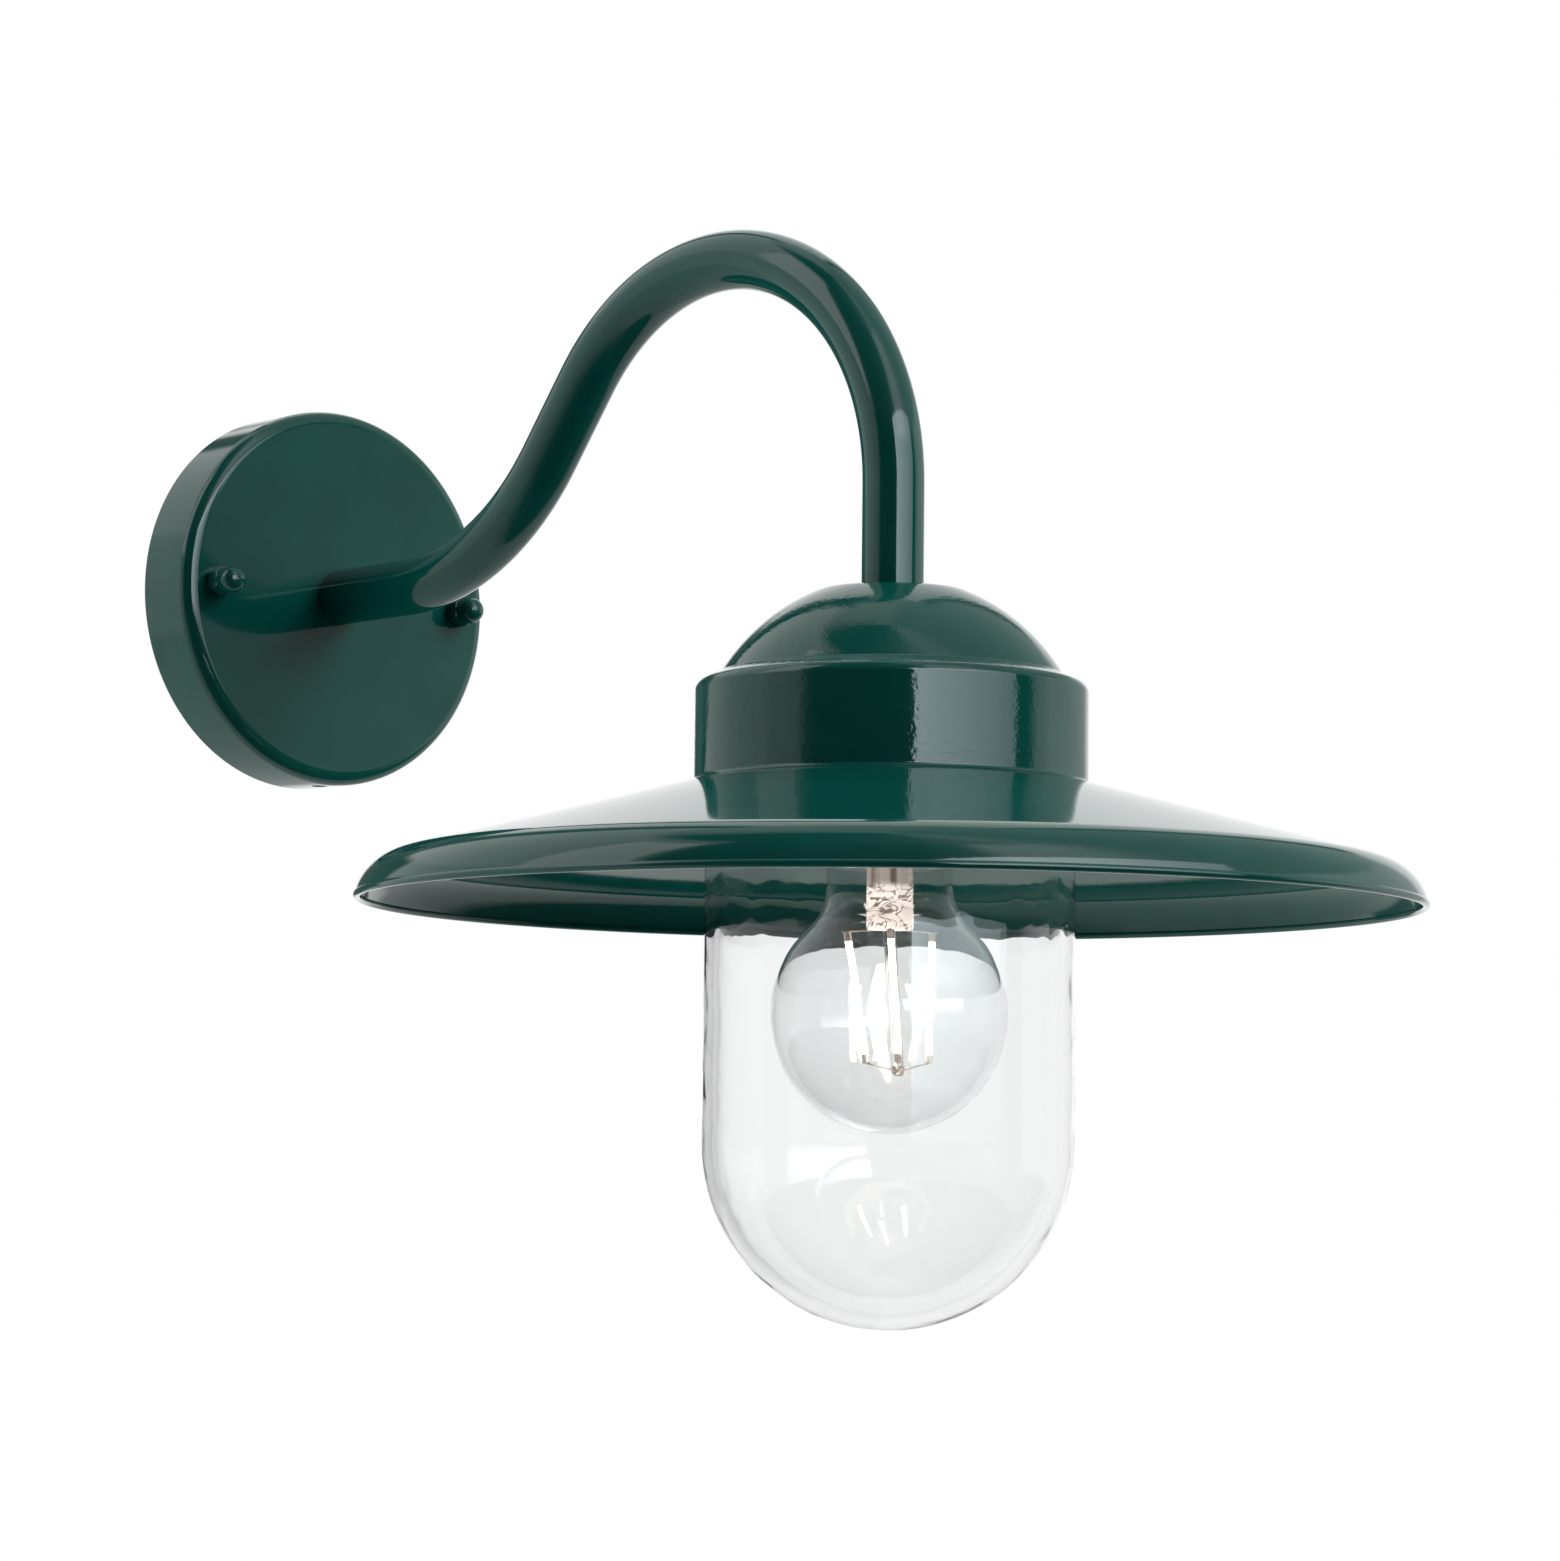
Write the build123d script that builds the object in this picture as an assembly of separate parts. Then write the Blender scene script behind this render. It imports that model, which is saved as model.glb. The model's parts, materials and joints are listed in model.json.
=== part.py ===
from build123d import *
import os
from math import atan2, cos, degrees, hypot, radians, sin, sqrt, tan

# Outdoor wall light: a swan-neck tube carries a domed head, a wide shade and a screw-in glass jar.
# Origin on the wall at the canopy's centre, +Y into the wall, +Z up, millimetres and degrees.

# Wires, and the hollow fittings that take them through both ends of the arm
wire_d = 2.0
wire_gap = 0.4
wire_bore_gap = 0.2
wire_bend_r = 5.0
wire_lead_out = 1.8
nipple_wall = 1.4
nipple_grip = 10.0
nipple_tail = 2.0
bush_wall = 1.35
bush_len = 12.0
lock_nut_af = 14.0
lock_nut_t = 4.0
tooth_washer_w = 3.4
tooth_washer_t = 1.0
tooth_count = 8
tooth_depth = 1.2
thread_gap = 0.1
braze_gap = 0.05
hole_gap = 0.25

# Swan-neck arm
arm_wall = 1.5
root_straight = 30.4
root_bend_r = 80.0
rise_angle = 51.7
rise_straight = 25.0
arch_r = 67.5
drop_straight = 28.0

# Wall canopy, its bracket and the nuts that hold it
canopy_d = 110.0
canopy_wall = 1.5
canopy_spare = 1.8
canopy_edge_r = 4.0
drain_d = 4.5
drain_from_wall = 12.5
bracket_t = 2.0
bracket_w = 20.0
bracket_corner_r = 3.0
bracket_end = 5.0
tab_w = 22.0
tab_h = 28.0
stud_d = 5.0
stud_inset = 11.0
stud_in_nut = 7.0
cap_nut_af = 8.0
cap_nut_hex_h = 4.0
cap_nut_dome_d = 7.6
cap_nut_h = 10.2
cap_nut_bevel = 0.5
wall_slot_spacing = 58.0
wall_slot_w = 5.0
wall_slot_len = 10.0

# Terminal block in the canopy
terminal_len = 20.0
terminal_wall = 1.1
terminal_from_strip = 6.0
insert_d = 5.0
insert_end_gap = 1.5
wire_hole_gap = 0.3
wire_seat = 6.0
clamp_screw_d = 2.6
clamp_screw_inset = 5.0
chimney_h = 3.2
block_screw_d = 3.0
block_screw_gap = 0.4

# Earth tags and screws
tag_ring_w = 1.9
tag_t = 0.8
tag_barrel_wall = 0.6
tag_barrel_len = 5.0
tag_neck = 0.5
earth_screw_d = 4.0
earth_lead = 1.6
boss_wall = 2.0
earth_screw_depth = 5.0
pan_head_ratio = 1.85
pan_head_h_ratio = 0.6
pan_slot_ratio = 0.25

# Lamp head
head_top_wall = 2.2
head_wall = 3.0
dome_flat_r = 19.2
dome_clear = 4.8
dome_below_strap = 3.1
shoulder_w = 6.4
shoulder_drop = 2.75
shoulder_r = 2.75
cove_r = 1.0
band_h = 27.9
foot_r = 0.6
rim_wall = 7.1
rim_h = 12.0

# Lampholder and the strap that carries it
strap_w = 16.0
strap_t = 1.5
strap_gap = 1.2
strap_end = 5.0
strap_screw_d = 4.0
strap_screw_depth = 5.0
strap_screw_room = 4.2
strap_corner_r = 2.0
holder_len = 43.0
holder_wall = 9.15
holder_base_h = 17.0
holder_skirt_wall = 5.6
holder_floor_t = 11.0
holder_lip_r = 1.6
holder_screw_d = 3.0
holder_screw_spread = 20.0
holder_screw_depth = 7.0
shell_t = 0.4
shell_gap = 0.3
shell_inset = 2.0
shell_len = 23.0
contact_t = 0.6
contact_w = 7.0
contact_drop = 2.9
contact_foot = 6.0
contact_pad = 5.5
contact_ramp = 2.5
contact_gap = 0.1
block_size = 6.0
block_h = 7.0
block_gap = 3.0
block_fit = 0.2
block_wire_depth = 4.0
block_clamp_d = 2.6

# Shade
shade_d = 271.0
shade_t = 1.2
shade_slope = 14.7
shade_flat_w = 0.5
knuckle_r = 13.5
skirt_angle = 80.0
hem_r = 1.0

# Glass ring, its screws and seal
ring_fit = 0.25
ring_wall = 2.4
ring_flange_t = 4.0
ring_flange_inset = 0.4
ring_spigot_h = 10.0
ring_screw_d = 3.0
ring_screw_head_d = 5.4
ring_screw_depth = 7.0
ring_screw_count = 3
ring_screw_start = 30.0
seal_gap = 0.4
seal_w = 2.7
seal_t = 2.5

# Glass jar
glass_wall = 4.0
glass_neck_gap = 0.35
glass_neck_h = 14.0
glass_shoulder_w = 7.0
glass_shoulder_r = 5.0
glass_h = 130.0
glass_lip_r = 1.5
glass_blend_r = 2.5

# Bulb
bulb_d = 60.0
bulb_len = 104.0
bulb_wall = 0.8
bulb_neck_d = 32.0
bulb_neck_blend = 15.0
bulb_taper_h = 8.0
bulb_tail = 4.0
bulb_cap_d = 26.1
bulb_cap_len = 27.0
bulb_cap_t = 0.35
cement_gap = 0.1
tip_d = 9.2
tip_h = 1.5
insulator_h = 4.0
stem_d = 12.0
stem_wall = 1.2
stem_len = 29.0
stem_flare_h = 5.0
stem_press_h = 6.0
stem_rod_d = 3.2
stem_rod_len = 35.0
stem_bead_d = 5.0
filament_d = 2.0
filament_count = 4
filament_len = 33.0
filament_top_r = 10.6
filament_foot_r = 8.0
filament_drop = 1.2
filament_start = -43.6
lead_d = 0.6
lead_gap = 0.3

BASE = (Align.CENTER, Align.CENTER, Align.MIN)
FORWARD = (Align.MIN, Align.CENTER, Align.MIN)
OUT = Plane(origin=(0, 0, 0), x_dir=(1, 0, 0), z_dir=(0, -1, 0))

# Sizes built outwards from the wires to the tube
wire_r = wire_d / 2
wire_pitch = wire_d + wire_gap
nipple_bore_r = wire_pitch + wire_r + wire_bore_gap
nipple_r = nipple_bore_r + nipple_wall
bush_r = nipple_r + thread_gap + bush_wall
arm_bore_r = bush_r + braze_gap
arm_r = arm_bore_r + arm_wall
nipple_stack = tooth_washer_t + lock_nut_t + nipple_tail
tag_barrel_r = wire_r + thread_gap + tag_barrel_wall
tag_hole_r = earth_screw_d / 2 + hole_gap
tag_ring_r = tag_hole_r + tag_ring_w
tag_reach = tag_ring_r + tag_neck

# Levels in the canopy, measured out from the wall
wire_level = bracket_t + tag_barrel_r
canopy_inside = wire_level + wire_bend_r + wire_lead_out + canopy_spare + nipple_stack
canopy_depth = canopy_inside + canopy_wall
canopy_r = canopy_d / 2
stud_x = canopy_r - stud_inset
wall_earth_x = wire_pitch + wire_bend_r + earth_lead + tag_barrel_len + tag_t + tag_reach
terminal_low = bracket_w / 2 + terminal_from_strip
terminal_middle = terminal_low + terminal_len / 2
insert_r = insert_d / 2
barrel_r = insert_r + braze_gap + terminal_wall
block_head_r = block_screw_d * pan_head_ratio / 2
pole_x = insert_r + terminal_wall + block_head_r + block_screw_gap
terminal_axis = bracket_t + barrel_r

# Arm route in the plane x = 0, as distance out from the wall and height
root_tangent = root_bend_r * tan(radians(rise_angle / 2))
arch_tangent = arch_r * tan(radians((90 + rise_angle) / 2))
rise_run = root_tangent + rise_straight + arch_tangent
rise_corner_out = canopy_depth + root_straight + root_tangent
reach = rise_corner_out + rise_run * cos(radians(rise_angle))
arch_corner_z = rise_run * sin(radians(rise_angle))
head_top = arch_corner_z - arch_tangent - drop_straight
LAMP = Pos(0, -reach, 0)

# Levels and radii in the head
head_ceiling = head_top - head_top_wall
wire_plane = head_ceiling - nipple_stack - wire_lead_out - wire_bend_r
strap_top = wire_plane - wire_r - strap_gap
holder_top = strap_top - strap_t
holder_mouth = holder_top - holder_len
holder_floor = holder_top - holder_floor_t
cap_r = bulb_cap_d / 2
shell_in_r = cap_r + shell_gap
holder_bore_r = shell_in_r + shell_t + thread_gap
holder_r = holder_bore_r + holder_wall
skirt_r = holder_bore_r + holder_skirt_wall
strap_screw_x = holder_r + strap_screw_d * pan_head_ratio / 2 + strap_screw_room
strap_half = strap_screw_x + strap_end
dome_base_r = strap_half + dome_clear + head_wall
dome_base = strap_top - dome_below_strap
dome_rise = head_top - dome_base
dome_centre = (dome_flat_r**2 + head_top**2 - dome_base_r**2 - dome_base**2) / (2 * dome_rise)
dome_r = hypot(dome_flat_r, head_top - dome_centre)
band_r = dome_base_r + shoulder_w
head_bottom = dome_base - band_h
rim_bore_r = band_r - rim_wall
block_y = strap_w / 2 + block_gap + block_size / 2
earth_seat = wire_plane + tag_barrel_r

# The head's earth screw stands beyond the lampholder, along the line on which the earth wire leaves
earth_turn = Vector(-1, 1, 0).normalized()
earth_corner = Vector(-wire_pitch, -reach, wire_plane)
earth_clear_r = holder_r + earth_screw_d * pan_head_ratio / 2 + strap_gap
earth_across = wire_pitch * earth_turn.X
earth_run = earth_across + sqrt(earth_clear_r**2 - wire_pitch**2 + earth_across**2)
earth_spot = earth_corner + earth_turn * earth_run + Vector(0, 0, tag_barrel_r)

# Levels and radii of the shade, ring and glass
ring_top = head_bottom - shade_t
ring_low = ring_top - ring_flange_t
ring_spigot_r = rim_bore_r - ring_fit
ring_bore_r = ring_spigot_r - ring_wall
ring_screw_r = (rim_bore_r + band_r) / 2
ring_screw_angles = [ring_screw_start + turn * 360 / ring_screw_count for turn in range(ring_screw_count)]
ring_screw_spots = [Rot(0, 0, angle) * Pos(ring_screw_r, 0, 0) for angle in ring_screw_angles]
glass_neck_r = ring_bore_r - glass_neck_gap
glass_shoulder = ring_low - seal_t
glass_r = glass_neck_r + glass_shoulder_w
glass_bottom = glass_shoulder - glass_h
glass_centre = glass_bottom + glass_r

# Levels of the bulb
contact_level = holder_floor - contact_drop
tip_top = contact_level - contact_gap
bulb_bottom = tip_top - bulb_len
cap_rim = tip_top - bulb_cap_len
bulb_r = bulb_d / 2
bulb_centre = bulb_bottom + bulb_r
neck_r = bulb_neck_d / 2
throat_r = cap_r - bulb_cap_t - cement_gap
stem_top = cap_rim + bulb_tail
stem_end = stem_top - stem_len
stem_r = stem_d / 2

nodes = {}


def outline(*points):
    """Closed flat outline through the points."""
    return make_face(Polyline(*points, close=True))


def rounded(face, corner, radius):
    """Round the outline's corner nearest to the given point."""
    return fillet(face.vertices().sort_by_distance((*corner, 0))[0], radius)


def turned(face):
    """Solid of revolution about Z from an outline of (radius, height)."""
    return revolve(Plane.XZ * face, axis=Axis.Z)


def ring(outer_r, inner_r, low, high):
    """Plain ring about Z between two heights."""
    return turned(outline((inner_r, low), (outer_r, low), (outer_r, high), (inner_r, high)))


def bar(radius, low, high):
    """Round bar or hole cutter about Z between two heights."""
    return Pos(0, 0, low) * Cylinder(radius, high - low, align=BASE)


def rod(start, end, radius):
    """Round bar between two points."""
    along = Vector(end) - Vector(start)
    return Plane(origin=start, z_dir=along) * Cylinder(radius, along.length, align=BASE)


def swept(path, section):
    """Solid with one section along a path of straight runs and tangent arcs."""
    return sweep(Plane(origin=path @ 0, z_dir=path % 0) * section, path=path)


def polar(radius, angle, height):
    """Point at a radius, angle and height about Z."""
    return (radius * cos(radians(angle)), radius * sin(radians(angle)), height)


def pan_screw(diameter, length):
    """Slotted pan-head screw along Z, with its seat at height 0 and its head above."""
    shank_r = diameter / 2
    head_r = shank_r * pan_head_ratio
    head_h = diameter * pan_head_h_ratio
    slot = diameter * pan_slot_ratio
    profile = outline(
        (0, -length), (shank_r, -length), (shank_r, 0), (head_r, 0), (head_r, head_h), (0, head_h)
    )
    body = turned(rounded(profile, (head_r, head_h), head_h / 2))
    return body - Pos(0, 0, head_h) * Box(2 * head_r, slot, 2 * slot)


def countersunk(gap, length):
    """Countersunk shape of a ring screw along Z, grown by a gap, with its flat face at height 0."""
    shank_r = ring_screw_d / 2 + gap
    head_r = ring_screw_head_d / 2 + gap
    return turned(outline((0, 0), (head_r, 0), (shank_r, head_r - shank_r), (shank_r, length), (0, length)))


def wall_canopy():
    """Shallow cup on the wall, with a rounded front edge, stud holes and a drain hole."""
    inner_r = canopy_r - canopy_wall
    bore_r = nipple_r + hole_gap
    profile = outline(
        (bore_r, canopy_inside),
        (inner_r, canopy_inside),
        (inner_r, 0),
        (canopy_r, 0),
        (canopy_r, canopy_depth),
        (bore_r, canopy_depth),
    )
    profile = rounded(profile, (canopy_r, canopy_depth), canopy_edge_r)
    profile = rounded(profile, (inner_r, canopy_inside), canopy_edge_r)
    cup = turned(profile)
    for side in (-1, 1):
        cup -= Pos(side * stud_x, 0, 0) * bar(stud_d / 2 + hole_gap, 0, canopy_depth)
    cup -= Pos(0, -canopy_r, drain_from_wall) * Rot(90, 0, 0) * Cylinder(drain_d / 2, 2 * drain_d)
    nodes["wall_canopy"] = OUT * cup


def wall_bracket():
    """Strip with two slots for the wall screws, two studs and a tab for the terminal block."""
    tab_top = bracket_w / 2 + tab_h
    plate = RectangleRounded(2 * (stud_x + bracket_end), bracket_w, bracket_corner_r)
    plate += Pos(0, tab_top / 2) * RectangleRounded(tab_w, tab_top, bracket_corner_r)
    studs = Part()
    for side in (-1, 1):
        plate -= Pos(side * wall_slot_spacing / 2, 0) * SlotOverall(wall_slot_len, wall_slot_w)
        plate -= Pos(side * stud_x, 0) * Circle(stud_d / 2 + braze_gap)
        studs += Pos(side * stud_x, 0, 0) * bar(stud_d / 2, 0, canopy_depth + stud_in_nut)
    plate -= Pos(0, terminal_middle) * Circle(block_screw_d / 2 + thread_gap)
    plate -= Pos(-wall_earth_x, 0) * Circle(earth_screw_d / 2 + thread_gap)
    nodes["wall_bracket"] = OUT * extrude(plate, bracket_t)
    nodes["bracket_studs"] = OUT * studs


def cap_nuts():
    """Two domed nuts on the canopy's front."""
    dome_r = cap_nut_dome_d / 2
    corner_r = cap_nut_af / sqrt(3)
    dome_low = cap_nut_h - dome_r
    hexagon = extrude(RegularPolygon(cap_nut_af / 2, 6, major_radius=False), cap_nut_hex_h)
    bevelled = turned(
        outline(
            (0, 0),
            (cap_nut_af / 2, 0),
            (corner_r, cap_nut_bevel),
            (corner_r, cap_nut_hex_h - cap_nut_bevel),
            (dome_r, cap_nut_hex_h),
            (0, cap_nut_hex_h),
        )
    )
    side_line = Polyline((0, cap_nut_h), (0, 0), (dome_r, 0), (dome_r, dome_low))
    dome = turned(make_face([side_line, CenterArc((0, dome_low), dome_r, 0, 90)]))
    nut = (hexagon & bevelled) + dome
    nut -= bar(stud_d / 2 + thread_gap, 0, stud_in_nut + hole_gap)
    group = Part()
    for side in (-1, 1):
        group += Pos(side * stud_x, 0, canopy_depth) * nut
    nodes["cap_nuts"] = OUT * group


def terminal_block():
    """Two-pole screw terminal on the bracket's tab, with inserts, clamp screws and a fixing screw."""
    upward = Rot(-90, 0, 0)
    chimney_top = terminal_axis + insert_r + chimney_h
    bore_r = clamp_screw_d / 2 + thread_gap
    wire_hole_r = wire_r + wire_hole_gap
    insert_len = terminal_len - 2 * insert_end_gap
    screw_low = terminal_axis + wire_r + thread_gap
    clamp_heights = (terminal_low + clamp_screw_inset, terminal_low + terminal_len - clamp_screw_inset)
    poles = [Pos(side * pole_x, 0, 0) for side in (-1, 1)]
    housing = Pos(0, terminal_middle, bracket_t) * Box(2 * pole_x, terminal_len, barrel_r, align=BASE)
    for pole in poles:
        barrel = pole * Pos(0, terminal_low, terminal_axis) * upward
        housing += barrel * bar(barrel_r, 0, terminal_len)
        for height in clamp_heights:
            housing += pole * Pos(0, height, 0) * bar(bore_r + terminal_wall, terminal_axis, chimney_top)
    inserts = Part()
    screws = Part()
    for pole in poles:
        barrel = pole * Pos(0, terminal_low, terminal_axis) * upward
        housing -= barrel * bar(wire_hole_r, 0, terminal_len)
        barrel = barrel * Pos(0, 0, insert_end_gap)
        housing -= barrel * bar(insert_r + braze_gap, 0, insert_len)
        insert = barrel * ring(insert_r, wire_hole_r, 0, insert_len)
        for height in clamp_heights:
            spot = pole * Pos(0, height, 0)
            housing -= spot * bar(bore_r, terminal_axis, chimney_top)
            insert -= spot * bar(bore_r, terminal_axis, chimney_top)
            screws += spot * bar(clamp_screw_d / 2, screw_low, chimney_top - terminal_wall)
        inserts += insert
    fixing = Pos(0, terminal_middle, terminal_axis)
    housing -= fixing * bar(block_screw_d / 2 + thread_gap, -terminal_axis, 0)
    nodes["terminal_block"] = OUT * housing
    nodes["terminal_inserts"] = OUT * inserts
    nodes["terminal_clamp_screws"] = OUT * screws
    nodes["terminal_fixing_screw"] = OUT * fixing * pan_screw(block_screw_d, terminal_axis)


def earth_fitting(name, spot, depth):
    """Ring tag with its crimp barrel along the spot's X, and the screw that clamps it."""
    lie_along = Pos(tag_reach, 0, tag_barrel_r) * Rot(0, 90, 0)
    neck_start = tag_ring_r - tag_ring_w / 2
    tag = ring(tag_ring_r, tag_hole_r, 0, tag_t)
    tag += Pos(neck_start, 0, 0) * Box(tag_reach - neck_start, tag_barrel_r, tag_t, align=FORWARD)
    tag += lie_along * bar(tag_barrel_r, 0, tag_t + tag_barrel_len)
    tag -= lie_along * bar(wire_r + thread_gap, tag_t, tag_t + tag_barrel_len)
    nodes[f"{name}_earth_tag"] = spot * tag
    nodes[f"{name}_earth_screw"] = spot * Pos(0, 0, tag_t) * pan_screw(earth_screw_d, tag_t + depth)


def arm_end(name, spot, wall):
    """Bush, nipple, washer and nut that clamp one end of the arm against a wall."""
    thread_r = nipple_r + thread_gap
    washer_r = thread_r + tooth_washer_w
    washer = Circle(washer_r) - Circle(thread_r)
    notch = Pos(washer_r, 0) * Rectangle(2 * tooth_depth, tooth_depth)
    for turn in range(tooth_count):
        washer -= Rot(0, 0, turn * 360 / tooth_count) * notch
    nut = RegularPolygon(lock_nut_af / 2, 6, major_radius=False) - Circle(thread_r)
    nodes[f"{name}_end_bush"] = spot * ring(bush_r, thread_r, -bush_len, 0)
    nodes[f"{name}_end_nipple"] = spot * ring(nipple_r, nipple_bore_r, -nipple_grip, wall + nipple_stack)
    nodes[f"{name}_end_washer"] = spot * Pos(0, 0, wall) * extrude(washer, tooth_washer_t)
    nodes[f"{name}_end_nut"] = spot * Pos(0, 0, wall + tooth_washer_t) * extrude(nut, lock_nut_t)


def arm_corners(x):
    """Corners of the arm's centre line, shifted sideways."""
    return [(x, -rise_corner_out, 0), (x, -reach, arch_corner_z)]


def swan_neck_arm():
    """Bent tube from the canopy's front over to the top of the head."""
    path = FilletPolyline(
        (0, -canopy_depth, 0), *arm_corners(0), (0, -reach, head_top), radius=[root_bend_r, arch_r]
    )
    nodes["swan_neck_arm"] = swept(path, Circle(arm_r) - Circle(arm_bore_r))


def wires():
    """Live, neutral and earth wires, side by side through the arm."""
    section = Circle(wire_r)
    for name, x, side in (("live_wire", 0, -1), ("neutral_wire", wire_pitch, 1)):
        block = -reach + side * block_y
        path = FilletPolyline(
            (side * pole_x, -terminal_axis, terminal_low + wire_seat),
            (side * pole_x, -terminal_axis, terminal_low - terminal_from_strip / 2),
            (x, -wire_level, 0),
            *arm_corners(x),
            (x, -reach, wire_plane),
            (x, block, wire_plane),
            (x, block, holder_top - block_wire_depth),
            radius=[wire_bend_r, wire_bend_r, root_bend_r, arch_r, wire_bend_r, wire_plane - holder_top],
        )
        nodes[name] = swept(path, section)
    path = FilletPolyline(
        (tag_reach + tag_t - wall_earth_x, -wire_level, 0),
        (-wire_pitch, -wire_level, 0),
        *arm_corners(-wire_pitch),
        earth_corner,
        earth_corner + earth_turn * (earth_run - tag_reach - tag_t),
        radius=[wire_bend_r, root_bend_r, arch_r, wire_bend_r],
    )
    nodes["earth_wire"] = swept(path, section)


def head_skin():
    """Solid inside the head's outer surface: dome, sloped shoulder, band."""
    corner = (band_r, dome_base - shoulder_drop)
    start = degrees(atan2(head_top - dome_centre, dome_flat_r))
    end = degrees(atan2(dome_base - dome_centre, dome_base_r))
    side_line = Polyline(
        (dome_base_r, dome_base),
        corner,
        (band_r, head_bottom),
        (0, head_bottom),
        (0, head_top),
        (dome_flat_r, head_top),
    )
    profile = make_face([CenterArc((0, dome_centre), dome_r, start, end - start), side_line])
    profile = rounded(profile, corner, shoulder_r)
    profile = rounded(profile, (dome_base_r, dome_base), cove_r)
    return turned(rounded(profile, (band_r, head_bottom), foot_r))


def head_cavity():
    """Space inside the head: dome, wide band and the narrower bore of the rim."""
    inner_r = dome_r - head_wall
    base_r = dome_base_r - head_wall
    wide_r = band_r - head_wall
    flat_r = sqrt(inner_r**2 - (head_ceiling - dome_centre) ** 2)
    base = dome_centre + sqrt(inner_r**2 - base_r**2)
    rim_top = head_bottom + rim_h
    start = degrees(atan2(head_ceiling - dome_centre, flat_r))
    end = degrees(atan2(base - dome_centre, base_r))
    side_line = Polyline(
        (base_r, base),
        (base_r, dome_base - head_wall),
        (wide_r, dome_base - shoulder_drop - head_wall),
        (wide_r, rim_top),
        (rim_bore_r, rim_top),
        (rim_bore_r, head_bottom),
        (0, head_bottom),
        (0, head_ceiling),
        (flat_r, head_ceiling),
    )
    return turned(make_face([CenterArc((0, dome_centre), inner_r, start, end - start), side_line]))


def lamp_head():
    """Cast head with two bosses for the strap, an earth boss and tapped holes in its rim."""
    skin = head_skin()
    head = skin - head_cavity() - bar(nipple_r + hole_gap, head_ceiling, head_top)
    strap_hole_r = strap_screw_d / 2 + thread_gap
    earth_hole_r = earth_screw_d / 2 + thread_gap
    for side in (-1, 1):
        spot = Pos(side * strap_screw_x, 0, 0)
        head += (spot * bar(strap_hole_r + boss_wall, strap_top, head_top)) & skin
        head -= spot * bar(strap_hole_r, strap_top, strap_top + strap_screw_depth + hole_gap)
    spot = Pos(earth_spot.X, earth_spot.Y + reach, 0)
    head += (spot * bar(earth_hole_r + boss_wall, earth_seat, head_top)) & skin
    head -= spot * bar(earth_hole_r, earth_seat, earth_seat + earth_screw_depth + hole_gap)
    rim_hole_top = head_bottom + ring_screw_depth + hole_gap
    for spot in ring_screw_spots:
        head -= spot * bar(ring_screw_d / 2 + thread_gap, head_bottom, rim_hole_top)
    nodes["lamp_head"] = LAMP * head


def holder_strap():
    """Steel strap across the head that carries the lampholder, with its screws."""
    plate = RectangleRounded(2 * strap_half, strap_w, strap_corner_r)
    strap_screw = pan_screw(strap_screw_d, strap_t + strap_screw_depth)
    holder_screw = pan_screw(holder_screw_d, strap_t + holder_screw_depth)
    strap_screws = Part()
    holder_screws = Part()
    for side in (-1, 1):
        outer = Pos(side * strap_screw_x, 0, 0)
        inner = Pos(side * holder_screw_spread / 2, 0, 0)
        plate -= outer * Circle(strap_screw_d / 2 + hole_gap)
        plate -= inner * Circle(holder_screw_d / 2 + hole_gap)
        strap_screws += outer * Pos(0, 0, holder_top) * Rot(180, 0, 0) * strap_screw
        holder_screws += inner * Pos(0, 0, strap_top) * holder_screw
    nodes["holder_strap"] = LAMP * Pos(0, 0, holder_top) * extrude(plate, strap_t)
    nodes["holder_strap_screws"] = LAMP * strap_screws
    nodes["lampholder_screws"] = LAMP * holder_screws


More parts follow.
